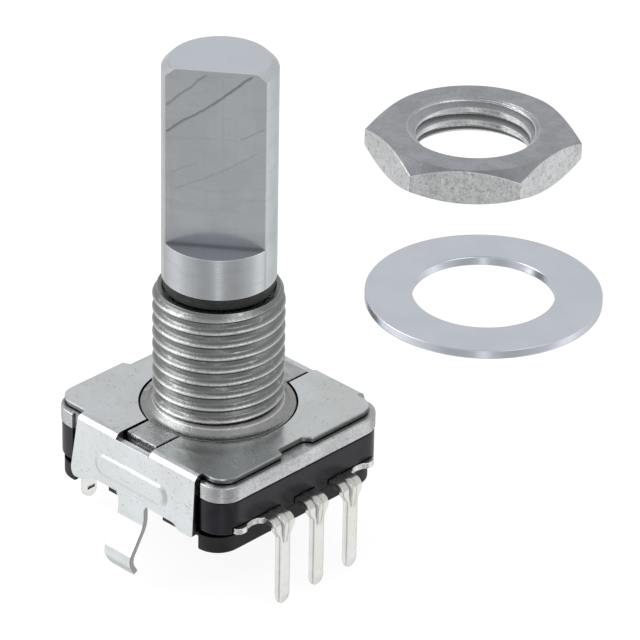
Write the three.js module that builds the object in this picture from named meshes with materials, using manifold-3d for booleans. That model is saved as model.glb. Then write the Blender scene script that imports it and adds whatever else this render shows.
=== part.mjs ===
// Low-profile incremental rotary encoder with a push switch, a D-cut shaft and a threaded panel bushing,
// with its panel nut and washer beside it. Millimetres. The origin is on the shaft axis at the face that
// meets the circuit board. +Z runs up the shaft, the three signal terminals face +X, and the two snap-in
// legs of the bracket face +Y and -Y. Heights are given from the panel face (the top of the steel bracket),
// and the whole assembly is lifted at the end so that the board face lies at zero.
import * as THREE from 'three';
import { mergeVertices } from 'three/addons/utils/BufferGeometryUtils.js';
import Module from 'manifold-3d';

const wasm = await Module();
wasm.setup();

// ---------------------------------------------------------------- driving dimensions, millimetres
const FIT = 0.02;               // gap between parts that touch on the real object
const CHANNEL_FIT = 0.03;       // gap round a terminal moulded into plastic
const SLIDE_FIT = 0.05;         // gap round a part that slides or turns
const OVERRUN = 1;              // how far a cutting solid reaches past the face it cuts
const LAP = 0.05;               // how far two solids overlap where they are joined
const ROUND = 48;               // facets on a full circle
const FINE_ROUND = 64;          // facets on the largest visible circles

// body, seen from above
const BODY_X = 6.42;            // half length, front to back
const BODY_Y = 6.05;            // half width of the stacked housing
const CORNER = 1.35;            // radius of the housing corners
const WAIST_Y = 5.88;           // half width between the corners, where the bracket's walls lie
const WAIST_X = [-4.75, 4.85];
const PLASTIC_INSET = 0.03;     // the plastic sits this far inside the metal

// heights of the stack below the panel face
const SHEET = 0.3;              // bracket sheet thickness
const FLANGE_BOTTOM = -1.3;
const CONTACT_BASE_BOTTOM = -3.2;
const BOARD_FACE = -4.5;        // face that meets the circuit board
const PIN_TIP = -8;

// bracket
const PLATE_X = [-6.35, 6.08];  // rear and front edges of the top
const PLATE_Y = 5.65;           // its half width beyond the ends of the walls
const PLATE_CORNER = 1;
const WALL_Y = 6.25;            // outer face of each wall, at the fold
const WALL_SPLAY = 2.5;         // degrees that each wall leans outward
const WALL_LENGTH = 3.5;        // from the fold to past the lowest edge
const FOLD_RADIUS = 0.45;
// a wall seen square on, as [X, height]; its top end runs past the plate
const WALL_OUTLINE = [
  [-3.95, OVERRUN], [-4.55, -3.4], [-4.35, -3.8], [-3.75, -3.75], [-2.7, -3.3], [3.2, -3.35],
  [3.55, -3.65], [4.6, -3.65], [4.65, OVERRUN],
];
const HOLE_RADIUS = 4.2;
const KEYWAY_HALF_WIDTH = 1.25;
const KEYWAY_INNER_Y = 3.5;
const LEG_WIDTH = 1.95;
// middle of a leg's sheet from the wall to the toe, as [distance from the axis, height]
const LEG_PATH = [
  [6.22, -3.1], [6.2, -4.4], [6.38, -4.8], [7.13, -6.1], [7.2, -6.6], [6.84, -7.26],
];
const RIB_LENGTH = 5.4;         // pressed rib on each wall
const RIB_HEIGHT = 1.3;
const RIB_Z = -2.2;
const RIB_RISE = 0.15;
const CRIMP_TABS = [[-4.2, -2.9], [3.45, 4.5]];     // start and end along X, folded under the contact base
const CRIMP_INNER_Y = 5.15;
const FRONT_NOTCH = [[7, -1.6], [5.65, -1.3], [5.65, 0.6], [5.95, 0.88], [7, 0.9]];
const REAR_NOTCH = [[-7, -1.2], [-7, 1.9], [-5.85, 1.4], [-5.85, -0.65]];

// bushing, M7 x 0.75
const THREAD_RADIUS = 3.47;
const THREAD_START = 0.35;
const BUSHING_TOP = 7;
const LEAD_IN = 0.25;           // radial size of the chamfer at the top of the thread
const LEAD_IN_HEIGHT = 0.4;
const FOOT_RADIUS = 4.1;
const KEY_HALF_WIDTH = 1.1;     // keys that turn the bushing with the bracket
const KEY_OUT = 5.55;
const KEY_POCKET_HALF_WIDTH = 1.25;
const KEY_POCKET_INNER_Y = 3.9;
const KEY_POCKET_FLOOR = -0.55;
const BORE_RADIUS = 2.5;
const SEAL_POCKET_RADIUS = 2.99;
const SEAL_POCKET_DEPTH = 0.62;
const SPRING_CEILING = -0.75;   // underside of the flange inside its recess
const RECESS_RADIUS = 4.6;

// detent spring
const SPRING_THICKNESS = 0.12;
const SPRING_OUTER_RADIUS = 4.45;
const SPRING_INNER_RADIUS = 3.2;
const SPRING_TAB_REACH = 5;
const SPRING_TAB_HALF_WIDTH = 0.45;
const NOSE_Y = 3.75;            // distance from the axis to the middle of each detent nose
const NOSE_LENGTH = 0.9;
const NOSE_RADIUS = 0.16;
const NOSE_WEB_HALF_WIDTH = 0.12;

// shaft, its seal ring and its clip
const SHAFT_RADIUS = 3;
const SHAFT_TOP = 20;
const SHAFT_SHOULDER = 7.66;
const SHAFT_CHAMFER = 0.42;
const NECK_RADIUS = 2.45;
const NECK_BOTTOM = -0.78;
const FLAT_DISTANCE = 1.5;      // axis to flat
const FLAT_BOTTOM = 10;
const FLAT_TURN = THREE.MathUtils.degToRad(-53);
const GROOVE_RADIUS = 1.5;
const TONGUE_RADIUS = 1.85;
const TONGUE_HALF_WIDTH = 1.4;
const TONGUE_TOP = -1.06;
const TONGUE_BOTTOM = -1.9;
const PUSHER_RADIUS = 1.25;
const SHAFT_BOTTOM = -2.75;
const SEAL_RADIUS = 2.93;
const SEAL_BOTTOM = 7.06;
const CLIP_RADIUS = 2.9;
const CLIP_BOTTOM = -1.04;
const CLIP_TOP = -0.79;
const CLIP_MOUTH_HALF_WIDTH = 1.2;

// rotor and code disc
const ROTOR_RADIUS = 4.35;
const ROTOR_WALL_INNER = 3.1;
const CROWN_ROOT = -1.22;
const CROWN_TIP = -1.02;
const TOOTH_ROOT_WIDTH = 0.72;
const TOOTH_TIP_WIDTH = 0.24;
const ROTOR_FLOOR_TOP = -1.62;
const ROTOR_FLOOR_BOTTOM = -2.1;
const HUB_RADIUS = 2.5;
const HUB_BOTTOM = -2.4;
const STEPS_PER_TURN = 24;
const DISC_THICKNESS = 0.1;
const DISC_RADIUS = 4.25;
const WINDOW_OUTER_RADIUS = 4.05;
const WINDOW_INNER_RADIUS = 3.25;

// contact base
const CAVITY_RADIUS = 4.7;
const CAVITY_FLOOR = -2.82;
const BOSS_RADIUS = 2.45;
const PLUNGER_HOLE_RADIUS = 1.38;
const FEET_X = [[-2.25, -1.6], [1.82, 2.8]];        // feet below the edge of each wall
const FEET_Y = [5.15, 5.82];
const FEET_BOTTOM = -4.05;

// signal terminals and wipers
const PITCH = 2.5;
const FRONT_PIN_X = 7.5;        // outer face of the signal terminals
const OUTER_TERMINAL_ROOT = 2;  // where the outer terminals start inside the base
const CENTRE_TERMINAL_ROOT = 3.4;
const PIN_WIDTH = 0.85;
const SHOULDER_WIDTH = 1.45;
const SHOULDER_DROP = 0.5;      // below the terminal's top, where the shoulder starts to taper
const TAPER_DROP = 1.15;        // and where it reaches the pin's width
const TERMINAL_THICKNESS = 0.35;
const TERMINAL_TOP = -2.82;
const BEND = 0.3;               // size of the bend from level to upright
const BEND_EASE = 0.08;
// ear of an outer terminal seen from above, as [X, distance from the axis along Y]
const EAR_OUTLINE = [
  [6.2, 3.1], [6.7, 3.1], [6.7, 3.3], [6.5, 3.5], [6.44, 3.85], [6.55, 4.3], [6.7, 4.5],
  [6.7, 4.85], [6.55, 5.1], [6.2, 5.1],
];
const EAR_CHANNEL_X = 6.15;
const EAR_CHANNEL_Y = [3, 5.15];
const WIPER_THICKNESS = 0.1;
const WIPER_ARM_Y = [3.23, 3.67];
const WIPER_PAD_Y = [2, 3.67];
const WIPER_PAD_X = [2.1, 2.7];
const WIPER_REACH = [0.55, 0.25];           // X where an outer wiper meets the disc, and of its end
const CENTRE_WIPER_HALF_WIDTH = 0.25;
const CENTRE_WIPER_X = [4.55, 3.75, 3, 2.75];       // foot, start of the arm, contact point, end
const WIPER_HOOK = 0.12;        // how far the end of a wiper turns down again

// push switch
const BACK_PIN_X = -7.5;        // outer face of the switch terminals
const SWITCH_TERMINAL_ROOT = -5.5;
const SWITCH_TERMINAL_TOP = -3.72;
const RUN_TOP = -4.32;          // thin run of a switch terminal inside the base
const RUN_BOTTOM = -4.42;
const RUN_HALF_WIDTH = 0.3;
const RUN_TURN_X = -3.4;        // where a run turns across the body
const DROP_X = -5.85;           // where a run meets its drop from the pin
const DROP_HALF_WIDTH = 0.4;
const SWITCH_CONTACTS = [       // pin's Y, then the X and Y of its contact under the dome
  [-PITCH, -1.85, -1.25], [PITCH, 0, 0],
];
const SWITCH_BASE_X = [-6.3, 6.02];     // the lower base is a little smaller than the housing above it
const SWITCH_BASE_Y = 5.95;
const SWITCH_WAIST_X = [-4.75, 4.6];    // where the bracket's tabs fold under
const SWITCH_WAIST_Y = 5.05;
const SWITCH_CAVITY_RADIUS = 2.5;
const SWITCH_FLOOR = -4.25;
const DOME_RADIUS = 2.3;
const DOME_RISE = 0.45;
const DOME_THICKNESS = 0.1;
const DOME_APEX = -3.68;
const PLUNGER_FOOT_RADIUS = 0.8;
const PLUNGER_FOOT_TOP = -3.42;
const PLUNGER_FLANGE_RADIUS = 1.8;
const PLUNGER_RADIUS = 1.3;

// fixings, lying off to one side
const NUT_CENTRE = [3.58, 15.25, 11.99];    // centre of its top face
const NUT_ACROSS_FLATS = 10;
const NUT_HEIGHT = 2;
const NUT_BORE_RADIUS = 3.1;
const NUT_CHAMFER_INSET = 0.1;
const NUT_CHAMFER_DEPTH = 0.58;
const NUT_TURN = THREE.MathUtils.degToRad(-52);
const WASHER_CENTRE = [13.58, 5.3, 9.99];   // centre of its top face
const WASHER_OUTER_RADIUS = 6;
const WASHER_INNER_RADIUS = 3.6;
const WASHER_THICKNESS = 0.5;

// ---------------------------------------------------------------- finishes
function finish(color, roughness, metalness) {
  return new THREE.MeshStandardMaterial({ color, roughness, metalness });
}

const tinPlate = () => finish(0xd9dadb, 0.3, 1);
const castZinc = () => finish(0x9b9c9b, 0.45, 1);
const turnedSteel = () => finish(0xb4b8ba, 0.35, 1);
const brightZinc = () => finish(0xc0c8ce, 0.35, 1);
const springBronze = () => finish(0xb58a55, 0.35, 1);
const springSteel = () => finish(0xa9adb0, 0.3, 1);
const blackPlastic = () => finish(0x2b2930, 0.5, 0);
const blackRubber = () => finish(0x17181a, 0.8, 0);
const greyPlastic = () => finish(0xcfcdc4, 0.5, 0);

// ---------------------------------------------------------------- joining and cutting
function toSolid(geometry) {
  const bare = geometry.clone();
  bare.deleteAttribute('normal');
  bare.deleteAttribute('uv');
  const merged = mergeVertices(bare, 1e-5);
  return new wasm.Manifold(new wasm.Mesh({
    numProp: 3,
    vertProperties: new Float32Array(merged.attributes.position.array),
    triVerts: new Uint32Array(merged.index.array),
  }));
}

function toGeometry(solid) {
  const mesh = solid.getMesh();
  const geometry = new THREE.BufferGeometry();
  geometry.setAttribute('position', new THREE.BufferAttribute(new Float32Array(mesh.vertProperties), 3));
  geometry.setIndex(new THREE.BufferAttribute(new Uint32Array(mesh.triVerts), 1));
  geometry.computeVertexNormals();
  return geometry;
}

const ordered = (a, b) => (a < b ? [a, b] : [b, a]);
const joinAll = (solids) => solids.reduce((whole, piece) => whole.add(piece));
const cutAll = (solid, tools) => tools.reduce((left, tool) => left.subtract(tool), solid);

// ---------------------------------------------------------------- simple solids
function box(x0, x1, y0, y1, z0, z1) {
  const geometry = new THREE.BoxGeometry(x1 - x0, y1 - y0, z1 - z0);
  geometry.translate((x0 + x1) / 2, (y0 + y1) / 2, (z0 + z1) / 2);
  return toSolid(geometry);
}

const asShape = (points) => new THREE.Shape(points.map(([a, b]) => new THREE.Vector2(a, b)));

function prism(shape, z0, z1, curveSegments = 8) {
  const geometry = new THREE.ExtrudeGeometry(shape, { depth: z1 - z0, bevelEnabled: false, curveSegments });
  geometry.translate(0, 0, z0);
  return toSolid(geometry);
}

function disc(radius, z0, z1, facets = ROUND) {
  const geometry = new THREE.CylinderGeometry(radius, radius, z1 - z0, facets);
  geometry.rotateX(Math.PI / 2);
  geometry.translate(0, 0, (z0 + z1) / 2);
  return toSolid(geometry);
}

// a solid turned about Z from a profile of [radius, height] points, given from the bottom up
function turned(profile, facets = ROUND) {
  const points = profile.map(([r, z]) => new THREE.Vector2(r, z));
  const geometry = new THREE.LatheGeometry(points, facets);
  geometry.rotateX(Math.PI / 2);
  return toSolid(geometry);
}

// a shape drawn in a vertical plane, as [across, height], made into a slab of the given width
function slabAlongX(shape, x0, x1) {
  const settings = { depth: x1 - x0, bevelEnabled: false, curveSegments: 4 };
  const geometry = new THREE.ExtrudeGeometry(shape, settings);
  geometry.rotateX(Math.PI / 2);
  geometry.rotateZ(Math.PI / 2);
  geometry.translate(x0, 0, 0);
  return toSolid(geometry);
}

function slabAlongY(shape, y0, y1) {
  const settings = { depth: y1 - y0, bevelEnabled: false, curveSegments: 4 };
  const geometry = new THREE.ExtrudeGeometry(shape, settings);
  geometry.rotateX(Math.PI / 2);
  geometry.translate(0, y1, 0);
  return toSolid(geometry);
}

function roundedRectangle(halfX, halfY, radius) {
  const shape = new THREE.Shape();
  shape.moveTo(halfX - radius, -halfY);
  shape.absarc(halfX - radius, radius - halfY, radius, -Math.PI / 2, 0);
  shape.absarc(halfX - radius, halfY - radius, radius, 0, Math.PI / 2);
  shape.absarc(radius - halfX, halfY - radius, radius, Math.PI / 2, Math.PI);
  shape.absarc(radius - halfX, radius - halfY, radius, Math.PI, Math.PI * 1.5);
  return shape;
}

// the outline of a strip bent along a path: each path point is pushed half the thickness to either side
function stripShape(path, thickness) {
  const sides = [[], []];
  path.forEach(([a, z], i) => {
    const before = path[Math.max(i - 1, 0)];
    const after = path[Math.min(i + 1, path.length - 1)];
    const inDirection = new THREE.Vector2(a - before[0], z - before[1]).normalize();
    const outDirection = new THREE.Vector2(after[0] - a, after[1] - z).normalize();
    const along = inDirection.add(outDirection).normalize();
    const normal = new THREE.Vector2(-along.y, along.x);
    const straight = i === 0 || i === path.length - 1 ? along : outDirection;
    const spread = thickness / 2 / Math.abs(normal.dot(new THREE.Vector2(-straight.y, straight.x)));
    sides[0].push([a + normal.x * spread, z + normal.y * spread]);
    sides[1].unshift([a - normal.x * spread, z - normal.y * spread]);
  });
  return asShape([...sides[0], ...sides[1]]);
}

// ---------------------------------------------------------------- outline shared by the stacked body
const housingShape = (inset) => roundedRectangle(BODY_X - inset, BODY_Y - inset, CORNER);

// what is cut away between the corners to leave room for the bracket's walls
function waistCuts(waistX, waistY) {
  return [-1, 1].map((side) => {
    const across = ordered(side * waistY, side * (BODY_Y + OVERRUN));
    return box(...waistX, ...across, BOARD_FACE - OVERRUN, OVERRUN);
  });
}

// ---------------------------------------------------------------- steel bracket
// the two splayed walls and the folds between them, seen from the front
function channelShape() {
  const lean = THREE.MathUtils.degToRad(WALL_SPLAY);
  const foldY = WALL_Y - FOLD_RADIUS;
  const innerRadius = FOLD_RADIUS - SHEET;
  const wallEnd = (radius) => [
    foldY + radius * Math.cos(lean) + WALL_LENGTH * Math.sin(lean),
    -FOLD_RADIUS + radius * Math.sin(lean) - WALL_LENGTH * Math.cos(lean),
  ];
  const [outerY, outerZ] = wallEnd(FOLD_RADIUS);
  const [innerY, innerZ] = wallEnd(innerRadius);
  const shape = new THREE.Shape();
  shape.moveTo(innerY, innerZ);
  shape.lineTo(outerY, outerZ);
  shape.absarc(foldY, -FOLD_RADIUS, FOLD_RADIUS, lean, Math.PI / 2);
  shape.absarc(-foldY, -FOLD_RADIUS, FOLD_RADIUS, Math.PI / 2, Math.PI - lean);
  shape.lineTo(-outerY, outerZ);
  shape.lineTo(-innerY, innerZ);
  shape.absarc(-foldY, -FOLD_RADIUS, innerRadius, Math.PI - lean, Math.PI / 2, true);
  shape.absarc(foldY, -FOLD_RADIUS, innerRadius, Math.PI / 2, lean, true);
  return shape;
}

function plateSolid() {
  const [rear, front] = PLATE_X;
  const outline = roundedRectangle((front - rear) / 2, PLATE_Y, PLATE_CORNER);
  return prism(outline, -SHEET, 0).translate([(front + rear) / 2, 0, 0]);
}

function wallRibSolid(side) {
  const shape = new THREE.Shape();
  const straight = (RIB_LENGTH - RIB_HEIGHT) / 2;
  shape.absarc(straight, RIB_Z, RIB_HEIGHT / 2, -Math.PI / 2, Math.PI / 2);
  shape.absarc(-straight, RIB_Z, RIB_HEIGHT / 2, Math.PI / 2, Math.PI * 1.5);
  const foldY = side * (WALL_Y - FOLD_RADIUS);
  return slabAlongY(shape, ...ordered(side * (WALL_Y - LAP), side * (WALL_Y + RIB_RISE)))
    .translate([0, -foldY, FOLD_RADIUS])
    .rotate([side * WALL_SPLAY, 0, 0])
    .translate([0, foldY, -FOLD_RADIUS]);
}

function legSolid(side) {
  const path = LEG_PATH.map(([y, z]) => [side * y, z]);
  return slabAlongX(stripShape(path, SHEET), -LEG_WIDTH / 2, LEG_WIDTH / 2);
}

function crimpTabSolid(side, [start, end]) {
  const top = CONTACT_BASE_BOTTOM - CHANNEL_FIT;
  return box(start, end, ...ordered(side * CRIMP_INNER_Y, side * WALL_Y), top - SHEET, top);
}

function bracketSolid() {
  const walls = slabAlongX(channelShape(), -BODY_X, BODY_X)
    .intersect(slabAlongY(asShape(WALL_OUTLINE), -WALL_Y - OVERRUN, WALL_Y + OVERRUN));
  const parts = [walls, plateSolid()];
  const cuts = [
    disc(HOLE_RADIUS, -SHEET - OVERRUN, OVERRUN),
    prism(asShape(FRONT_NOTCH), -SHEET - OVERRUN, OVERRUN),
    prism(asShape(REAR_NOTCH), -SHEET - OVERRUN, OVERRUN),
  ];
  for (const side of [-1, 1]) {
    parts.push(legSolid(side), wallRibSolid(side));
    parts.push(...CRIMP_TABS.map((tab) => crimpTabSolid(side, tab)));
    const keywayY = ordered(side * KEYWAY_INNER_Y, side * (WALL_Y + OVERRUN));
    cuts.push(box(-KEYWAY_HALF_WIDTH, KEYWAY_HALF_WIDTH, ...keywayY, -SHEET - FIT, OVERRUN));
  }
  return cutAll(joinAll(parts), cuts);
}

// ---------------------------------------------------------------- die-cast bushing and flange
function bushingSolid() {
  const barrel = turned([
    [0, FLANGE_BOTTOM], [FOOT_RADIUS, FLANGE_BOTTOM], [FOOT_RADIUS, 0], [THREAD_RADIUS + LAP * 2, 0],
    [THREAD_RADIUS, THREAD_START], [THREAD_RADIUS, BUSHING_TOP - LEAD_IN_HEIGHT],
    [THREAD_RADIUS - LEAD_IN, BUSHING_TOP], [0, BUSHING_TOP],
  ]);
  const keys = box(-KEY_HALF_WIDTH, KEY_HALF_WIDTH, -KEY_OUT, KEY_OUT, KEY_POCKET_FLOOR - LAP, 0);
  const pocketX = [-KEY_POCKET_HALF_WIDTH, KEY_POCKET_HALF_WIDTH];
  const pockets = [-1, 1].map((side) => {
    const pocketY = ordered(side * KEY_POCKET_INNER_Y, side * (BODY_Y + OVERRUN));
    return box(...pocketX, ...pocketY, KEY_POCKET_FLOOR, OVERRUN);
  });
  const block = prism(housingShape(0), FLANGE_BOTTOM, -SHEET - FIT);
  const flange = cutAll(block, [...waistCuts(WAIST_X, WAIST_Y), ...pockets]);
  const slotX = SPRING_TAB_REACH + SLIDE_FIT * 2;
  const slotY = SPRING_TAB_HALF_WIDTH + SLIDE_FIT * 2;
  return cutAll(joinAll([flange, barrel, keys]), [
    disc(BORE_RADIUS, FLANGE_BOTTOM - OVERRUN, BUSHING_TOP + OVERRUN),
    disc(SEAL_POCKET_RADIUS, BUSHING_TOP - SEAL_POCKET_DEPTH, BUSHING_TOP + OVERRUN),
    disc(RECESS_RADIUS, FLANGE_BOTTOM - OVERRUN, SPRING_CEILING),
    box(-slotX, slotX, -slotY, slotY, FLANGE_BOTTOM - OVERRUN, SPRING_CEILING),
  ]);
}

// ---------------------------------------------------------------- detent spring
// a rounded nose that rests between two teeth, and the web that joins it to the ring
function detentNoseSolid(side, ringBottom) {
  const height = CROWN_ROOT + NOSE_RADIUS + SLIDE_FIT;
  const nose = new THREE.CylinderGeometry(NOSE_RADIUS, NOSE_RADIUS, NOSE_LENGTH, 12);
  nose.translate(0, side * NOSE_Y, height);
  const webX = [-NOSE_WEB_HALF_WIDTH, NOSE_WEB_HALF_WIDTH];
  const webY = [side * NOSE_Y - NOSE_LENGTH / 2, side * NOSE_Y + NOSE_LENGTH / 2];
  return toSolid(nose).add(box(...webX, ...webY, height, ringBottom + LAP));
}

function detentSpringSolid() {
  const top = SPRING_CEILING - FIT;
  const bottom = top - SPRING_THICKNESS;
  const ring = disc(SPRING_OUTER_RADIUS, bottom, top);
  const tabY = [-SPRING_TAB_HALF_WIDTH, SPRING_TAB_HALF_WIDTH];
  const tabs = box(-SPRING_TAB_REACH, SPRING_TAB_REACH, ...tabY, bottom, top);
  const hole = disc(SPRING_INNER_RADIUS, bottom - OVERRUN, top + OVERRUN);
  const noses = [-1, 1].map((side) => detentNoseSolid(side, bottom));
  return joinAll([ring.add(tabs).subtract(hole), ...noses]);
}

// ---------------------------------------------------------------- shaft and what rides on it
function shaftSolid() {
  const round = turned([
    [0, SHAFT_BOTTOM], [PUSHER_RADIUS, SHAFT_BOTTOM], [PUSHER_RADIUS, TONGUE_BOTTOM],
    [TONGUE_RADIUS, TONGUE_BOTTOM], [TONGUE_RADIUS, TONGUE_TOP], [GROOVE_RADIUS, TONGUE_TOP],
    [GROOVE_RADIUS, NECK_BOTTOM], [NECK_RADIUS, NECK_BOTTOM], [NECK_RADIUS, SHAFT_SHOULDER],
    [SHAFT_RADIUS, SHAFT_SHOULDER], [SHAFT_RADIUS, SHAFT_TOP - SHAFT_CHAMFER],
    [SHAFT_RADIUS - SHAFT_CHAMFER, SHAFT_TOP], [0, SHAFT_TOP],
  ], FINE_ROUND);
  const flat = new THREE.BoxGeometry(SHAFT_RADIUS, SHAFT_RADIUS * 3, SHAFT_TOP - FLAT_BOTTOM + OVERRUN);
  flat.translate(FLAT_DISTANCE + SHAFT_RADIUS / 2, 0, (SHAFT_TOP + FLAT_BOTTOM + OVERRUN) / 2);
  flat.rotateZ(FLAT_TURN);
  const tongueSides = [-1, 1].map((side) => {
    const across = ordered(side * TONGUE_HALF_WIDTH, side * SHAFT_RADIUS);
    return box(-SHAFT_RADIUS, SHAFT_RADIUS, ...across, SHAFT_BOTTOM - OVERRUN, TONGUE_TOP);
  });
  return cutAll(round, [toSolid(flat), ...tongueSides]);
}

function sealRingSolid() {
  const hole = disc(NECK_RADIUS + CHANNEL_FIT, SEAL_BOTTOM - OVERRUN, SHAFT_SHOULDER + OVERRUN, FINE_ROUND);
  return disc(SEAL_RADIUS, SEAL_BOTTOM, SHAFT_SHOULDER - FIT, FINE_ROUND).subtract(hole);
}

function retainingClipSolid() {
  const mouth = [-CLIP_MOUTH_HALF_WIDTH, CLIP_MOUTH_HALF_WIDTH];
  return cutAll(disc(CLIP_RADIUS, CLIP_BOTTOM, CLIP_TOP), [
    disc(GROOVE_RADIUS + SLIDE_FIT, CLIP_BOTTOM - OVERRUN, CLIP_TOP + OVERRUN),
    box(0, CLIP_RADIUS + OVERRUN, ...mouth, CLIP_BOTTOM - OVERRUN, CLIP_TOP + OVERRUN),
  ]);
}

// ---------------------------------------------------------------- rotor with its detent crown
function toothSolid(turn) {
  const foot = TOOTH_ROOT_WIDTH / 2;
  const tip = TOOTH_TIP_WIDTH / 2;
  const root = CROWN_ROOT - LAP;
  const shape = asShape([[-foot, root], [foot, root], [tip, CROWN_TIP], [-tip, CROWN_TIP]]);
  return slabAlongX(shape, ROTOR_WALL_INNER + LAP, ROTOR_RADIUS - LAP * 2).rotate([0, 0, turn]);
}

function rotorSolid() {
  const body = turned([
    [0, HUB_BOTTOM], [HUB_RADIUS, HUB_BOTTOM], [HUB_RADIUS, ROTOR_FLOOR_BOTTOM],
    [ROTOR_RADIUS, ROTOR_FLOOR_BOTTOM], [ROTOR_RADIUS, CROWN_ROOT], [ROTOR_WALL_INNER, CROWN_ROOT],
    [ROTOR_WALL_INNER, ROTOR_FLOOR_TOP], [0, ROTOR_FLOOR_TOP],
  ]);
  const teeth = [];
  for (let i = 0; i < STEPS_PER_TURN; i += 1) {
    teeth.push(toothSolid((i + 0.5) * 360 / STEPS_PER_TURN));
  }
  const slotHalf = TONGUE_HALF_WIDTH + SLIDE_FIT;
  const slotZ = [HUB_BOTTOM - OVERRUN, ROTOR_FLOOR_TOP + OVERRUN];
  const slot = box(-HUB_RADIUS, HUB_RADIUS, -slotHalf, slotHalf, ...slotZ);
  const round = disc(TONGUE_RADIUS + SLIDE_FIT, ...slotZ);
  return joinAll([body, ...teeth]).subtract(round.intersect(slot));
}

function codeDiscSolid() {
  const top = ROTOR_FLOOR_BOTTOM - FIT;
  const bottom = top - DISC_THICKNESS;
  const cuts = [disc(HUB_RADIUS + SLIDE_FIT, bottom - OVERRUN, top + OVERRUN)];
  const step = Math.PI * 2 / STEPS_PER_TURN;
  for (let i = 0; i < STEPS_PER_TURN; i += 1) {
    const window = new THREE.Shape();
    window.absarc(0, 0, WINDOW_OUTER_RADIUS, i * step, (i + 0.5) * step);
    window.absarc(0, 0, WINDOW_INNER_RADIUS, (i + 0.5) * step, i * step, true);
    cuts.push(prism(window, bottom - OVERRUN, top + OVERRUN, 2));
  }
  return cutAll(disc(DISC_RADIUS, bottom, top), cuts);
}

// ---------------------------------------------------------------- terminals
// outline of a pin seen square on: a wide shoulder that tapers to the pin, with a rounded tip
function pinShape(y, top) {
  const half = PIN_WIDTH / 2;
  const shoulder = SHOULDER_WIDTH / 2;
  const shape = new THREE.Shape();
  shape.moveTo(y + shoulder, top);
  shape.lineTo(y - shoulder, top);
  shape.lineTo(y - shoulder, top - SHOULDER_DROP);
  shape.lineTo(y - half, top - TAPER_DROP);
  shape.lineTo(y - half, PIN_TIP + half);
  shape.absarc(y, PIN_TIP + half, half, Math.PI, Math.PI * 2);
  shape.lineTo(y + half, top - TAPER_DROP);
  shape.lineTo(y + shoulder, top - SHOULDER_DROP);
  return shape;
}

// a strip that leaves the plastic level and bends down to its tip, cut to the pin's outline
function bentPinSolid(y, rootX, outerX, top) {
  const way = Math.sign(outerX);
  const level = top - TERMINAL_THICKNESS / 2;
  const column = outerX - way * TERMINAL_THICKNESS / 2;
  const path = [
    [rootX, level], [column - way * BEND, level], [column - way * BEND_EASE, level - BEND_EASE],
    [column, level - BEND], [column, PIN_TIP],
  ];
  const bent = slabAlongY(stripShape(path, TERMINAL_THICKNESS), y - SHOULDER_WIDTH, y + SHOULDER_WIDTH);
  return bent.intersect(slabAlongX(pinShape(y, top), ...ordered(0, outerX + way * OVERRUN)));
}

function centreTerminalSolid() {
  return bentPinSolid(0, CENTRE_TERMINAL_ROOT, FRONT_PIN_X, TERMINAL_TOP);
}

function outerTerminalSolid(side) {
  const outline = asShape(EAR_OUTLINE.map(([x, y]) => [x, side * y]));
  const ear = prism(outline, TERMINAL_TOP - TERMINAL_THICKNESS, TERMINAL_TOP);
  return bentPinSolid(side * PITCH, OUTER_TERMINAL_ROOT, FRONT_PIN_X, TERMINAL_TOP).add(ear);
}

// ---------------------------------------------------------------- wipers, up to the code disc
const wiperBottom = TERMINAL_TOP + FIT;
const wiperLevel = wiperBottom + WIPER_THICKNESS / 2;
const wiperTip = ROTOR_FLOOR_BOTTOM - FIT - DISC_THICKNESS - FIT - WIPER_THICKNESS / 2;

// the side view of a wiper: a level foot, a rising arm and a hooked end
function wiperShape([foot, arm, contact, end]) {
  const path = [[foot, wiperLevel], [arm, wiperLevel], [contact, wiperTip], [end, wiperTip - WIPER_HOOK]];
  return stripShape(path, WIPER_THICKNESS);
}

function outerWiperSolid(side) {
  const armY = ordered(...WIPER_ARM_Y.map((y) => side * y));
  const padY = ordered(...WIPER_PAD_Y.map((y) => side * y));
  const [padStart, padEnd] = WIPER_PAD_X;
  const arm = slabAlongY(wiperShape([padEnd, padStart, ...WIPER_REACH]), ...armY);
  return arm.add(box(padStart, padEnd, ...padY, wiperBottom, wiperBottom + WIPER_THICKNESS));
}

function centreWiperSolid() {
  return slabAlongY(wiperShape(CENTRE_WIPER_X), -CENTRE_WIPER_HALF_WIDTH, CENTRE_WIPER_HALF_WIDTH);
}

// ---------------------------------------------------------------- switch terminals
// the part inside the plastic: a drop from the pin, and a thin run to its contact; grow widens it all round
function switchRunSolid(y, contactX, contactY, grow) {
  const half = RUN_HALF_WIDTH + grow;
  const dropHalf = DROP_HALF_WIDTH + grow;
  const bottom = RUN_BOTTOM - grow;
  const top = RUN_TOP + grow;
  const [near, far] = ordered(y, contactY);
  const turnX = [RUN_TURN_X - RUN_HALF_WIDTH * 2 - grow, RUN_TURN_X + grow];
  const dropX = [DROP_X - grow, SWITCH_TERMINAL_ROOT + grow];
  return joinAll([
    box(...dropX, y - dropHalf, y + dropHalf, bottom, SWITCH_TERMINAL_TOP - LAP + grow),
    box(DROP_X - grow, RUN_TURN_X + grow, y - half, y + half, bottom, top),
    box(...turnX, near - half, far + half, bottom, top),
    box(turnX[0], contactX + half, contactY - half, contactY + half, bottom, top),
    box(contactX - half, contactX + half, contactY - half, contactY + half, bottom, SWITCH_FLOOR + grow),
  ]);
}

function switchTerminalSolid([y, contactX, contactY]) {
  const pin = bentPinSolid(y, SWITCH_TERMINAL_ROOT, BACK_PIN_X, SWITCH_TERMINAL_TOP);
  return pin.add(switchRunSolid(y, contactX, contactY, 0));
}

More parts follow.
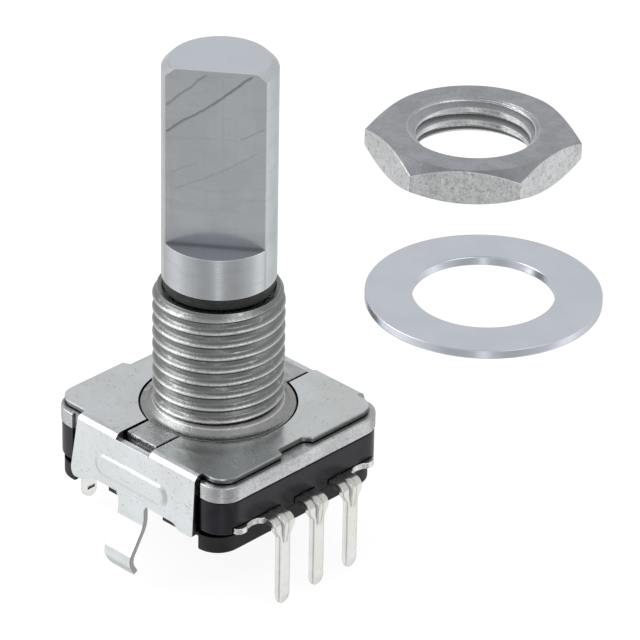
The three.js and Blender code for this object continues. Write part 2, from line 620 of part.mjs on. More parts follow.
// ---------------------------------------------------------------- black plastic housings
// the slot that a signal terminal and its ear lie in, open below
function terminalChannels(y, rootX) {
  const half = SHOULDER_WIDTH / 2 + CHANNEL_FIT;
  const height = [CONTACT_BASE_BOTTOM - OVERRUN, TERMINAL_TOP + LAP];
  const channel = box(rootX - CHANNEL_FIT, BODY_X + OVERRUN, y - half, y + half, ...height);
  if (y === 0) return [channel];
  const earY = ordered(...EAR_CHANNEL_Y.map((distance) => Math.sign(y) * distance));
  return [channel, box(EAR_CHANNEL_X, BODY_X + OVERRUN, ...earY, ...height)];
}

function contactBaseSolid() {
  const shell = prism(housingShape(PLASTIC_INSET), CONTACT_BASE_BOTTOM, FLANGE_BOTTOM - FIT)
    .subtract(disc(CAVITY_RADIUS, CAVITY_FLOOR, FLANGE_BOTTOM + OVERRUN));
  const parts = [
    cutAll(shell, waistCuts(WAIST_X, WAIST_Y)),
    disc(BOSS_RADIUS, CONTACT_BASE_BOTTOM, HUB_BOTTOM - FIT),
  ];
  for (const side of [-1, 1]) {
    const feetY = ordered(...FEET_Y.map((y) => side * y));
    parts.push(...FEET_X.map((x) => box(...x, ...feetY, FEET_BOTTOM, CONTACT_BASE_BOTTOM + LAP)));
  }
  return cutAll(joinAll(parts), [
    disc(PLUNGER_HOLE_RADIUS, CONTACT_BASE_BOTTOM - OVERRUN, HUB_BOTTOM + OVERRUN),
    ...terminalChannels(-PITCH, OUTER_TERMINAL_ROOT),
    ...terminalChannels(0, CENTRE_TERMINAL_ROOT),
    ...terminalChannels(PITCH, OUTER_TERMINAL_ROOT),
  ]);
}

function switchBaseSolid() {
  const top = CONTACT_BASE_BOTTOM - FIT;
  const [rear, front] = SWITCH_BASE_X;
  const outline = roundedRectangle((front - rear) / 2, SWITCH_BASE_Y, CORNER);
  const block = prism(outline, BOARD_FACE, top).translate([(front + rear) / 2, 0, 0]);
  const cuts = [
    disc(SWITCH_CAVITY_RADIUS, SWITCH_FLOOR, top + OVERRUN),
    ...waistCuts(SWITCH_WAIST_X, SWITCH_WAIST_Y),
  ];
  const half = SHOULDER_WIDTH / 2 + CHANNEL_FIT;
  const channelBottom = SWITCH_TERMINAL_TOP - TERMINAL_THICKNESS - CHANNEL_FIT;
  const channelTop = SWITCH_TERMINAL_TOP + CHANNEL_FIT;
  const channelX = [-BODY_X - OVERRUN, SWITCH_TERMINAL_ROOT + CHANNEL_FIT];
  for (const [y, contactX, contactY] of SWITCH_CONTACTS) {
    cuts.push(switchRunSolid(y, contactX, contactY, CHANNEL_FIT));
    cuts.push(box(...channelX, y - half, y + half, channelBottom, channelTop));
  }
  return cutAll(block, cuts);
}

// ---------------------------------------------------------------- push switch
function plungerSolid() {
  const bottom = DOME_APEX + FIT;
  const top = SHAFT_BOTTOM - CHANNEL_FIT;
  const stop = CONTACT_BASE_BOTTOM - FIT;
  return turned([
    [0, bottom], [PLUNGER_FOOT_RADIUS, bottom], [PLUNGER_FOOT_RADIUS, PLUNGER_FOOT_TOP],
    [PLUNGER_FLANGE_RADIUS, PLUNGER_FOOT_TOP], [PLUNGER_FLANGE_RADIUS, stop], [PLUNGER_RADIUS, stop],
    [PLUNGER_RADIUS, top], [0, top],
  ]);
}

function snapDomeSolid() {
  const sphere = (DOME_RADIUS ** 2 + DOME_RISE ** 2) / (2 * DOME_RISE);
  const drop = (r) => sphere - Math.sqrt(sphere ** 2 - r ** 2);
  const radii = [0, 0.25, 0.5, 0.75, 1].map((part) => part * DOME_RADIUS);
  const upper = radii.map((r) => [r, DOME_APEX - drop(r)]);
  const lower = radii.map((r) => [r, DOME_APEX - DOME_THICKNESS - drop(r)]);
  return turned([...lower, ...upper.reverse()], 32);
}

// ---------------------------------------------------------------- panel nut and washer
function nutSolid() {
  const corner = NUT_ACROSS_FLATS / Math.sqrt(3);
  const face = NUT_ACROSS_FLATS / 2 - NUT_CHAMFER_INSET;
  const half = NUT_HEIGHT / 2;
  const hexagon = new THREE.CylinderGeometry(corner, corner, NUT_HEIGHT, 6);
  hexagon.rotateX(Math.PI / 2);
  hexagon.rotateZ(NUT_TURN + Math.PI / 6);
  const chamfers = turned([
    [0, -half], [face, -half], [corner + LAP, NUT_CHAMFER_DEPTH - half],
    [corner + LAP, half - NUT_CHAMFER_DEPTH], [face, half], [0, half],
  ]);
  return toSolid(hexagon).intersect(chamfers).subtract(disc(NUT_BORE_RADIUS, -NUT_HEIGHT, NUT_HEIGHT));
}

function washerSolid() {
  const hole = disc(WASHER_INNER_RADIUS, -WASHER_THICKNESS - OVERRUN, OVERRUN, FINE_ROUND);
  return disc(WASHER_OUTER_RADIUS, -WASHER_THICKNESS, 0, FINE_ROUND).subtract(hole);
}

// ---------------------------------------------------------------- assembly
function piece(name, solid, material) {
  const mesh = new THREE.Mesh(toGeometry(solid), material);
  mesh.name = name;
  return mesh;
}

const encoder = new THREE.Group();
encoder.position.z = -BOARD_FACE;
encoder.add(
  piece('bracket', bracketSolid(), tinPlate()),
  piece('bushing', bushingSolid(), castZinc()),
  piece('detent_spring', detentSpringSolid(), springSteel()),
  piece('contact_base', contactBaseSolid(), blackPlastic()),
  piece('switch_base', switchBaseSolid(), blackPlastic()),
  piece('terminal_a', outerTerminalSolid(-1), tinPlate()),
  piece('terminal_c', centreTerminalSolid(), tinPlate()),
  piece('terminal_b', outerTerminalSolid(1), tinPlate()),
  piece('wiper_a', outerWiperSolid(-1), springBronze()),
  piece('wiper_c', centreWiperSolid(), springBronze()),
  piece('wiper_b', outerWiperSolid(1), springBronze()),
  piece('switch_terminal_d', switchTerminalSolid(SWITCH_CONTACTS[0]), tinPlate()),
  piece('switch_terminal_e', switchTerminalSolid(SWITCH_CONTACTS[1]), tinPlate()),
  piece('snap_dome', snapDomeSolid(), springSteel()),
  piece('switch_plunger', plungerSolid(), greyPlastic()),
  piece('rotor', rotorSolid(), greyPlastic()),
  piece('code_disc', codeDiscSolid(), springBronze()),
  piece('shaft', shaftSolid(), turnedSteel()),
  piece('seal_ring', sealRingSolid(), blackRubber()),
  piece('retaining_clip', retainingClipSolid(), springSteel()),
);

const nut = piece('hex_nut', nutSolid(), castZinc());
nut.position.set(NUT_CENTRE[0], NUT_CENTRE[1], NUT_CENTRE[2] - NUT_HEIGHT / 2);
const washer = piece('washer', washerSolid(), brightZinc());
washer.position.set(...WASHER_CENTRE);
encoder.add(nut, washer);

export default encoder;
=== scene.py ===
"""Rotary encoder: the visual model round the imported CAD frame, its materials, studio and camera."""
import math
from contextlib import contextmanager

import bmesh
import bpy
from mathutils import Matrix, Vector


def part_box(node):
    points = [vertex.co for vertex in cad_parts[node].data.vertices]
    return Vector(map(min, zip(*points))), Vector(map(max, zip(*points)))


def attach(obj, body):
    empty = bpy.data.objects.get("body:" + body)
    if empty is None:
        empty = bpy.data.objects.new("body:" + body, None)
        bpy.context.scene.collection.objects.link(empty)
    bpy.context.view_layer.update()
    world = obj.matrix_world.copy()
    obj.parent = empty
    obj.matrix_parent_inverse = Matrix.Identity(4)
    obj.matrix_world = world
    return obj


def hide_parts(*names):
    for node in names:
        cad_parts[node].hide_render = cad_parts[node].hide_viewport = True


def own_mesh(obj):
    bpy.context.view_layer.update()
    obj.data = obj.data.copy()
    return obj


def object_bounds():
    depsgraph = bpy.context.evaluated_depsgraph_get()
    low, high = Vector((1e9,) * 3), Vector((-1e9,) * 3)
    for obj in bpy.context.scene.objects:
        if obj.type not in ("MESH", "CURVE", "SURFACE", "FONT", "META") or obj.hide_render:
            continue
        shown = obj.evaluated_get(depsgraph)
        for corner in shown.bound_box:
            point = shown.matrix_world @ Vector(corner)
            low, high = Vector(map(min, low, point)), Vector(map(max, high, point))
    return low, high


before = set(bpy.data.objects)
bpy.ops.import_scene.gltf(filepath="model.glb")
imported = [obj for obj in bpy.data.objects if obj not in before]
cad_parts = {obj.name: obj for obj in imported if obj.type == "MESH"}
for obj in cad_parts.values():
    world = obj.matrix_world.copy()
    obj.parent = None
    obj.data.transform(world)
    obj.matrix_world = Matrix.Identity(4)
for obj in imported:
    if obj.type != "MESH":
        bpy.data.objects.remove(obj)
cad_low, cad_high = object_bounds()

# ---- sizes, in millimetres
MM = 0.001
PANEL_FACE = 4.5  # the panel face above the frame's origin; heights below are from it


def metres(z):
    """A height from the panel face in millimetres, as metres from the frame's origin."""
    return (z + PANEL_FACE) * MM


def box_mm(node):
    """Lowest and highest corner of a CAD node, in millimetres, with heights from the panel face."""
    corners = [[c / MM for c in corner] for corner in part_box(node)]
    for corner in corners:
        corner[2] -= PANEL_FACE
    return corners


BRACKET_LOW, BRACKET_HIGH = box_mm("bracket")
BUSHING_LOW, BUSHING_HIGH = box_mm("bushing")
SHAFT_LOW, SHAFT_HIGH = box_mm("shaft")
SEAL_LOW, SEAL_HIGH = box_mm("seal_ring")
NUT_LOW, NUT_HIGH = box_mm("hex_nut")
WASHER_LOW, WASHER_HIGH = box_mm("washer")
CONTACT_LOW, CONTACT_HIGH = box_mm("contact_base")
SWITCH_LOW, SWITCH_HIGH = box_mm("switch_base")
FRONT_PIN_HIGH = box_mm("terminal_c")[1]
BACK_PIN_LOW = box_mm("switch_terminal_d")[0]

SHEET = 0.3
CORNER = 1.35
WAIST_X = (-4.75, 4.85)  # the bracket's walls lie in a waist between the body's corners
WAIST_Y = 5.88
FLANGE_GAP = 0.05  # shadow gap between the bracket and the casting under it
PLATE_Y = 5.65
WALL_Y = 6.25
WALL_SPLAY = 2.5  # degrees
WALL_LENGTH = 3.5
FOLD = 0.45
FOLD_Y = WALL_Y - FOLD
WALL_OUTLINE = (
    (-3.95, 1.0), (-4.55, -3.4), (-4.35, -3.8), (-3.75, -3.75), (-2.7, -3.3), (3.2, -3.35),
    (3.55, -3.65), (4.6, -3.65), (4.65, 1.0),
)
LEG_WIDTH = 1.95
CRIMP_TABS = ((-4.2, -2.9), (3.45, 4.5))
FRONT_NOTCH = ((7, -1.6), (5.65, -1.3), (5.65, 0.6), (5.95, 0.88), (7, 0.9))
REAR_NOTCH = ((-7, 1.9), (-5.85, 1.4), (-5.85, -0.65), (-7, -1.2))
HOLE = 4.2
KEYWAY = 1.25  # half widths of the keyways and of the casting's keys in them
KEY = 1.1
SWITCH_WAIST_X = (-4.75, 4.6)
SWITCH_WAIST_Y = 5.05
CONTACT_BOTTOM = -3.2
FEET_X = ((-2.25, -1.6), (1.82, 2.8))
TERMINAL_TOP = -2.82
TERMINAL_THICK = 0.35
SWITCH_TERMINAL_TOP = -3.72
PITCH = 2.5  # between the pins of one row
PIN_TIP = -8.0
SHOULDER = 1.45  # width of a terminal at its bend
FRONT_PIN = 0.8
BACK_PIN = 0.66
FRONT_ROOT = 3.4  # where the middle signal terminal starts inside the base
OUTER_ROOT = 2.0
BACK_ROOT = -5.5
CHANNEL_GAP = 0.03  # round a terminal in the plastic
CHANNEL_HALF_WIDTH = SHOULDER / 2 + CHANNEL_GAP
THREAD_PITCH = 0.75
THREAD_FACETS = 144
THREAD_ROWS = 12  # rows of points in one pitch
THREAD_CREST = 3.47
THREAD_ROOT = 3.24
BARREL_FOOT = 4.1  # radius of the casting where the barrel meets the flange
BORE = 2.5
SEAL_SEAT = 2.99
SHAFT = 3.0  # radius
NECK = 1.85  # radius of the shaft below its clip's groove
GROOVE_TOP = -0.78
GROOVE_BOTTOM = -1.06
DRIVE_TOP = -1.9  # below this the shaft's foot is thinner
DRIVE_HALF_WIDTH = 1.4  # across the two flats that drive the rotor
FLAT_DISTANCE = 1.5
FLAT_BOTTOM = 10.0
FLAT_TURN = math.radians(-53)
NUT_TURN = math.radians(-52)
COPLANAR = math.radians(0.5)


# ---- mesh helpers, in millimetres
def new_object(name, data):
    thing = bpy.data.objects.new(name, data)
    bpy.context.scene.collection.objects.link(thing)
    return thing


def mesh_object(name, vertices, faces):
    mesh = bpy.data.meshes.new(name)
    mesh.from_pydata([tuple(v) for v in vertices], [], faces)
    mesh.update()
    return new_object(name, mesh)


@contextmanager
def editing(thing):
    work = bmesh.new()
    work.from_mesh(thing.data)
    yield work
    work.to_mesh(thing.data)
    work.free()


def clean(thing, distance=1e-4):
    with editing(thing) as work:
        bmesh.ops.remove_doubles(work, verts=work.verts, dist=distance)
        bmesh.ops.dissolve_degenerate(work, dist=distance, edges=work.edges)
        bmesh.ops.recalc_face_normals(work, faces=work.faces)
    return thing


def apply_modifiers(thing):
    graph = bpy.context.evaluated_depsgraph_get()
    baked = bpy.data.meshes.new_from_object(thing.evaluated_get(graph))
    thing.modifiers.clear()
    thing.data = baked
    return thing


def combine(thing, tool, operation):
    modifier = thing.modifiers.new("combine", "BOOLEAN")
    modifier.operation = operation
    modifier.solver = "EXACT"
    modifier.object = tool
    apply_modifiers(thing)
    bpy.data.objects.remove(tool)
    return clean(thing)


def cut(thing, *tools):
    for tool in tools:
        combine(thing, tool, "DIFFERENCE")
    return thing


def join(thing, *tools):
    for tool in tools:
        combine(thing, tool, "UNION")
    return thing


def bevel(thing, width, segments=2, degrees=35):
    """Bevels the sharp edges, once coplanar faces are joined so that only real edges are left."""
    with editing(thing) as work:
        bmesh.ops.dissolve_limit(
            work, angle_limit=COPLANAR, verts=work.verts, edges=work.edges, delimit={"NORMAL"}
        )
    modifier = thing.modifiers.new("bevel", "BEVEL")
    modifier.width = width
    modifier.segments = segments
    modifier.limit_method = "ANGLE"
    modifier.angle_limit = math.radians(degrees)
    modifier.use_clamp_overlap = True
    modifier.miter_outer = "MITER_ARC"
    apply_modifiers(thing)
    return clean(thing)


def smooth(thing, degrees=32):
    """Smooth shading that keeps large faces flat, so that only their bevels bend the light."""
    thing.data.shade_smooth()
    thing.data.set_sharp_from_angle(angle=math.radians(degrees))
    modifier = thing.modifiers.new("weighted", "WEIGHTED_NORMAL")
    modifier.keep_sharp = True
    return apply_modifiers(thing)


def place(thing, name, body, slot, material, *nodes):
    """Names a finished piece, brings it to metres and hangs it on its body."""
    thing.name = name
    thing.data.name = name
    thing.data.transform(Matrix.Scale(MM, 4) @ Matrix.Translation((0, 0, PANEL_FACE)))
    thing.data.materials.clear()
    thing.data.materials.append(material)
    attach(thing, body)
    if nodes:
        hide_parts(*nodes)
    return thing


def shift(thing, x, y, z=0):
    thing.data.transform(Matrix.Translation((x, y, z)))
    return thing


def rounded(points, radius, steps=4):
    """An open polyline with each inner corner swapped for an arc; radius is one number or one per point."""
    path = []
    for i, point in enumerate(points):
        reach = radius[i] if isinstance(radius, (list, tuple)) else radius
        if i in (0, len(points) - 1) or reach <= 0:
            path.append(tuple(point))
            continue
        here = Vector(point)
        back = (Vector(points[i - 1]) - here)
        ahead = (Vector(points[i + 1]) - here)
        reach = min(reach, back.length * 0.49, ahead.length * 0.49)
        start = here + back.normalized() * reach
        end = here + ahead.normalized() * reach
        for step in range(steps + 1):
            t = step / steps
            path.append(tuple(start * (1 - t) ** 2 + here * 2 * t * (1 - t) + end * t * t))
    return path


def turned(profile, facets=128):
    """A solid of revolution about Z from [radius, height] points that start and end on the axis."""
    rings = []
    vertices = []
    for r, z in profile:
        if r < 1e-6:
            rings.append([len(vertices)] * facets)
            vertices.append((0, 0, z))
            continue
        rings.append(list(range(len(vertices), len(vertices) + facets)))
        for k in range(facets):
            turn = 2 * math.pi * k / facets
            vertices.append((r * math.cos(turn), r * math.sin(turn), z))
    faces = []
    for lower, upper in zip(rings, rings[1:]):
        for k in range(facets):
            m = (k + 1) % facets
            corners = [lower[k], lower[m], upper[m], upper[k]]
            unique = list(dict.fromkeys(corners))
            if len(unique) > 2:
                faces.append(unique)
    return clean(mesh_object("turned", vertices, faces))


def cylinder(radius, z0, z1, facets=96):
    return turned([(0, z0), (radius, z0), (radius, z1), (0, z1)], facets)


def ring_turned(profile, facets=128):
    """A ring about Z from a closed [radius, height] profile that stays off the axis."""
    vertices = []
    faces = []
    count = len(profile)
    for k in range(facets):
        turn = 2 * math.pi * k / facets
        vertices += [(r * math.cos(turn), r * math.sin(turn), z) for r, z in profile]
    for k in range(facets):
        here = k * count
        there = (k + 1) % facets * count
        for i in range(count):
            j = (i + 1) % count
            faces.append((here + i, there + i, there + j, here + j))
    return clean(mesh_object("ring", vertices, faces))


def loft(loops):
    """A solid through closed loops that all have the same number of points, capped at both ends."""
    count = len(loops[0])
    vertices = [point for loop in loops for point in loop]
    faces = [tuple(reversed(range(count)))]
    for level in range(len(loops) - 1):
        for i in range(count):
            j = (i + 1) % count
            a, b = level * count, (level + 1) * count
            faces.append((a + i, a + j, b + j, b + i))
    last = (len(loops) - 1) * count
    faces.append(tuple(last + i for i in range(count)))
    return clean(mesh_object("loft", vertices, faces))


def prism(outline, z0, z1):
    return loft([[(x, y, z0) for x, y in outline], [(x, y, z1) for x, y in outline]])


def box(x0, x1, y0, y1, z0, z1):
    return prism([(x0, y0), (x1, y0), (x1, y1), (x0, y1)], z0, z1)


def side_box(side, x, y, z0, z1):
    """A box whose range across the body is given for the +Y side and mirrored for the other."""
    return box(*x, *sorted(side * distance for distance in y), z0, z1)


def slab(outline, axis, start, end):
    """An outline of [across, height] points made into a slab along X or Y."""
    if axis == "X":
        return loft([[(x, across, z) for across, z in outline] for x in (start, end)])
    return loft([[(across, y, z) for across, z in outline] for y in (start, end)])


def arc(x, y, radius, start, end, steps):
    """Points along an arc, angles in degrees."""
    turns = [math.radians(start + (end - start) * k / steps) for k in range(steps + 1)]
    return [(x + radius * math.cos(t), y + radius * math.sin(t)) for t in turns]


def rounded_rectangle(half_x, half_y, radius):
    points = []
    for cx, cy, start in ((1, -1, -90), (1, 1, 0), (-1, 1, 90), (-1, -1, 180)):
        points += arc(cx * (half_x - radius), cy * (half_y - radius), radius, start, start + 90, 10)
    return points


def rounded_block(half_x, half_y, corner, z0, z1, edge):
    """A rounded rectangle block whose top and bottom rims are rounded too."""
    turns = [math.pi / 8 * k for k in range(5)]
    levels = [(edge * (1 - math.sin(turn)), z0 + edge * (1 - math.cos(turn))) for turn in turns]
    levels += [(edge * (1 - math.cos(turn)), z1 - edge * (1 - math.sin(turn))) for turn in turns]
    loops = []
    for inset, z in levels:
        outline = rounded_rectangle(half_x - inset, half_y - inset, corner - inset)
        loops.append([(x, y, z) for x, y in outline])
    return loft(loops)


# ---- threads
def thread_radius(share, root, crest):
    """Radius of a 60 degree thread at a share of one pitch: crest flat, flank, root, flank."""
    crest_half = 0.06
    root_half = 0.2
    distance = abs(share - 0.5) * 2
    inner = 1 - 2 * root_half
    outer = 2 * crest_half
    mix = min(1, max(0, (inner - distance) / (inner - outer)))
    mix = mix * mix * (3 - 2 * mix) * 0.35 + mix * 0.65
    return root + (crest - root) * mix


def threaded_rod(root, crest, z0, z1, limit=None):
    """A threaded rod about Z whose rows follow the helix; limit(z) caps the radius, for a lead-in."""
    row_count = int((z1 - z0) / THREAD_PITCH * THREAD_ROWS) + 3 * THREAD_ROWS
    columns = []
    vertices = []
    for k in range(THREAD_FACETS):
        column = []
        turn = 2 * math.pi * k / THREAD_FACETS
        for row in range(row_count):
            lead = (row - THREAD_ROWS) / THREAD_ROWS * THREAD_PITCH + z0
            z = min(max(lead + THREAD_PITCH * k / THREAD_FACETS, z0), z1)
            r = root
            if z not in (z0, z1):
                r = thread_radius(row % THREAD_ROWS / THREAD_ROWS, root, crest)
            if limit:
                r = min(r, limit(z))
            column.append(len(vertices))
            vertices.append((r * math.cos(turn), r * math.sin(turn), z))
        columns.append(column)
    # once round, a row meets the row one pitch further up
    columns.append(columns[0][THREAD_ROWS:])
    faces = []
    for column, following in zip(columns, columns[1:]):
        for row in range(len(following) - 1):
            faces.append((column[row], following[row], following[row + 1], column[row + 1]))
    rod = clean(mesh_object("rod", vertices, faces), 1e-5)
    with editing(rod) as work:
        bmesh.ops.holes_fill(work, edges=[edge for edge in work.edges if edge.is_boundary])
        bmesh.ops.recalc_face_normals(work, faces=work.faces)
    return rod


# ---- bent strips: terminals and legs
# a terminal's rib, as shares of half its width and of its rise
RIB_SHAPE = ((1.0, 0.0), (0.85, -0.25), (0.6, 0.85), (0.45, 1.0))
RIB_HALF_WIDTH = 0.27


def strip(path, sections, centre, axis, edge):
    """A stamped strip along a path of [across, height] points. sections holds each point's half width,
    thickness and outward rib, and centre is the strip's middle along the other axis."""
    loops = []
    for i, (across, z) in enumerate(path):
        before = Vector(path[max(i - 1, 0)])
        after = Vector(path[min(i + 1, len(path) - 1)])
        along = (after - before).normalized()
        loop = []
        for side, depth in strip_section(*sections[i], edge):
            out = across - along.y * depth
            up = z + along.x * depth
            loop.append((out, centre + side, up) if axis == "X" else (centre + side, out, up))
        loops.append(loop)
    return loft(loops)


def strip_section(half, thick, rise, edge):
    """Cross-section of a strip: rounded corners, and a raised rib along the middle of its outer face."""
    outer = thick / 2
    corner = min(edge, half * 0.4, thick * 0.4)
    rib_half = min(half * 0.5, RIB_HALF_WIDTH)
    right = arc(half - corner, corner - outer, corner, -90, 0, 2)
    right += arc(half - corner, outer - corner, corner, 0, 90, 2)
    right += [(share * rib_half, outer + lift * rise) for share, lift in RIB_SHAPE]
    left = [(-across, depth) for across, depth in reversed(right)]
    return right + [(0, outer + rise)] + left


def resample(points, spacing):
    """Points along a rounded path at an even spacing, and their distances along it."""
    lengths = [0]
    for first, second in zip(points, points[1:]):
        lengths.append(lengths[-1] + math.dist(first, second))
    count = max(2, int(lengths[-1] / spacing))
    path, distances = [], []
    for k in range(count + 1):
        target = lengths[-1] * k / count
        i = max(j for j in range(len(lengths) - 1) if lengths[j] <= target + 1e-9)
        span = lengths[i + 1] - lengths[i] or 1
        t = (target - lengths[i]) / span
        path.append(tuple(Vector(points[i]).lerp(Vector(points[i + 1]), t)))
        distances.append(target)
    return path, distances


# ---- material helpers
class Shader:
    """A short way to write the nodes of a material or a world: values link to sockets by name."""

    def __init__(self, owner, coordinates="Object"):
        owner.use_nodes = True
        self.owner = owner
        self.tree = owner.node_tree
        self.tree.nodes.clear()
        self.where = self.add("TexCoord").outputs[coordinates]

    def add(self, kind, inputs=None, **settings):
        node = self.tree.nodes.new("ShaderNode" + kind)
        for key, value in settings.items():
            setattr(node, key, value)
        for key, value in (inputs or {}).items():
            socket = node.inputs[key]
            if isinstance(value, bpy.types.NodeSocket):
                self.tree.links.new(value, socket)
            else:
                socket.default_value = value
        return node

    def math(self, operation, *values):
        return self.add("Math", dict(enumerate(values)), operation=operation).outputs[0]

    def times(self, first, *others):
        for other in others:
            first = self.math("MULTIPLY", first, other)
        return first

    def plus(self, first, second):
        return self.math("ADD", first, second)

    def split(self, vector):
        return self.add("SeparateXYZ", {"Vector": vector}).outputs

    def noise(self, scale, detail=3.0, stretch=(1, 1, 1), turn=(0, 0, 0), roughness=0.55):
        """Noise whose scale counts features in a millimetre, stretched along its own axes."""
        mapping = self.add("Mapping", {"Vector": self.where, "Rotation": turn, "Scale": stretch})
        node = self.add(
            "TexNoise",
            {"Vector": mapping.outputs[0], "Scale": scale / MM, "Detail": detail, "Roughness": roughness},
        )
        return node.outputs["Fac"]

    def spread(self, value, low, high, out_low=0.0, out_high=1.0, shape="SMOOTHSTEP"):
        """Maps a value's low to high range onto out_low to out_high, with a smooth shape unless told."""
        inputs = {"Value": value, "From Min": low, "From Max": high, "To Min": out_low, "To Max": out_high}
        return self.add("MapRange", inputs, interpolation_type=shape).outputs["Result"]

    def mix(self, share, first, second):
        inputs = {"Factor": share, "A": first, "B": second}
        return self.add("Mix", inputs, data_type="RGBA").outputs["Result"]

    def cloudy(self, noise, first, second):
        """Two tones that drift into each other with a noise."""
        return self.mix(self.spread(noise, 0.35, 0.65), first, second)

    def coats(self, color, *coats):
        """A colour under coats of [mask, tone], painted one after the other."""
        for mask, tone in coats:
            color = self.mix(mask, color, tone)
        return color

    def ramp(self, value, stops):
        """Brightness from a value, through [position, brightness] stops."""
        node = self.add("ValToRGB", {0: value})
        points = node.color_ramp.elements
        node.color_ramp.interpolation = "EASE"
        while len(points) < len(stops):
            points.new(0.5)
        for point, (position, level) in zip(points, stops):
            point.position = position
            point.color = grey(level)
        return node.outputs[0]

    def edges(self, radius, low=0.02, high=0.25):
        """1 along sharp edges and 0 elsewhere, from how much a bevel would turn the normal."""
        rounded_normal = self.add("Bevel", {"Radius": radius * MM}, samples=6).outputs[0]
        straight = self.add("NewGeometry").outputs["Normal"]
        dot = self.add("VectorMath", {0: rounded_normal, 1: straight}, operation="DOT_PRODUCT")
        return self.spread(self.math("SUBTRACT", 1.0, dot.outputs["Value"]), low, high)

    def crease_shade(self, reach, low=0.35, high=0.9):
        """1 in narrow gaps and inside corners, 0 in the open; the materials paint shade into colour with it.
        """
        node = self.add("AmbientOcclusion", {"Distance": reach * MM}, samples=4)
        return self.spread(node.outputs["AO"], low, high, 1.0, 0.0)

    def bump(self, height, depth):
        """Bump whose depth is in millimetres for a height of 1."""
        inputs = {"Height": height, "Distance": depth * MM, "Strength": 1.0}
        return self.add("Bump", inputs).outputs[0]

    def finish(self, color, roughness, metallic, normal=None, more=None):
        inputs = {"Base Color": color, "Roughness": roughness, "Metallic": metallic, **(more or {})}
        if normal is not None:
            inputs["Normal"] = normal
        surface = self.add("BsdfPrincipled", inputs)
        self.add("OutputMaterial", {"Surface": surface.outputs[0]})
        return self.owner


def material_nodes(name):
    return Shader(bpy.data.materials.new(name))


def grey(value, tint=(1.0, 1.0, 1.0)):
    return (value * tint[0], value * tint[1], value * tint[2], 1.0)


def plated_steel():
    """Bright tin plate: slightly wavy, nearly a mirror on top, with fine scuffs; painted highlights on its
    edges, and painted shade in its crevices, on its sheared edges and sides and along the legs' edges.
    """
    s = material_nodes("tin_plate")
    cloud = s.noise(0.35, 4)
    speck = s.noise(5.0, 3)
    blotch = s.noise(1.3, 4, roughness=0.65)
    scuff = s.noise(1.2, 2, stretch=(0.25, 3.0, 1.0), turn=(0, 0, 0.5))
    on_leg = s.spread(s.split(s.where)["Z"], metres(-3.6), metres(-3.4), 1.0, 0.0)
    color = s.coats(
        s.cloudy(cloud, grey(0.79, (0.965, 1.0, 0.995)), grey(0.87, (0.955, 1, 1.03))),
        (s.spread(blotch, 0.56, 0.72, 0.0, 0.5), grey(0.66, (0.98, 1.0, 0.98))),
        (s.spread(speck, 0.60, 0.74, 0.0, 0.8), grey(0.50)),
        # painted highlight along the edges
        (s.times(s.edges(0.05), 0.7), grey(0.96)),
        # painted shade in crevices and gaps
        (s.crease_shade(0.30), grey(0.05)),
        # painted shade on the top plate's sheared edge
        (s.times(plate_edge_shade(s), 0.75), grey(0.04)),
        # painted shade on the cut sides that face along X
        (s.times(sheared_side_shade(s), 0.8), grey(0.22)),
        # painted shade along the edges of the legs
        (s.times(on_leg, s.edges(0.07), 0.8), grey(0.35)),
    )
    rough = s.spread(s.plus(cloud, s.times(scuff, 0.5)), 0.5, 1.0, 0.17, 0.29)
    height = s.plus(s.noise(0.9, 2), s.times(speck, 0.2))
    return s.finish(color, rough, 1.0, s.bump(height, 0.018))


def plate_edge_shade(s):
    """1 on the sheared edge of the bracket's top plate, where shade is painted, 0 on its face, its folds and
    the walls.
    """
    at = s.split(s.where)
    below = s.math("LESS_THAN", at["Z"], metres(-0.1))
    above = s.math("GREATER_THAN", at["Z"], metres(-SHEET - 0.01))
    between_folds = s.math("LESS_THAN", s.math("ABSOLUTE", at["Y"]), (PLATE_Y + 0.01) * MM)
    return s.times(below, above, between_folds)


def facing_up(s, low=0.8, high=0.95):
    """1 on faces that look up, 0 on the rest; low and high are heights of the normal."""
    normal = s.add("NewGeometry").outputs["Normal"]
    return s.spread(s.split(normal)["Z"], low, high)


def sheared_side_shade(s):
    """1 on the cut sides of the legs and walls, which face along X and get painted shade."""
    normal = s.add("NewGeometry").outputs["True Normal"]
    return s.spread(s.math("ABSOLUTE", s.split(normal)["X"]), 0.75, 0.9)


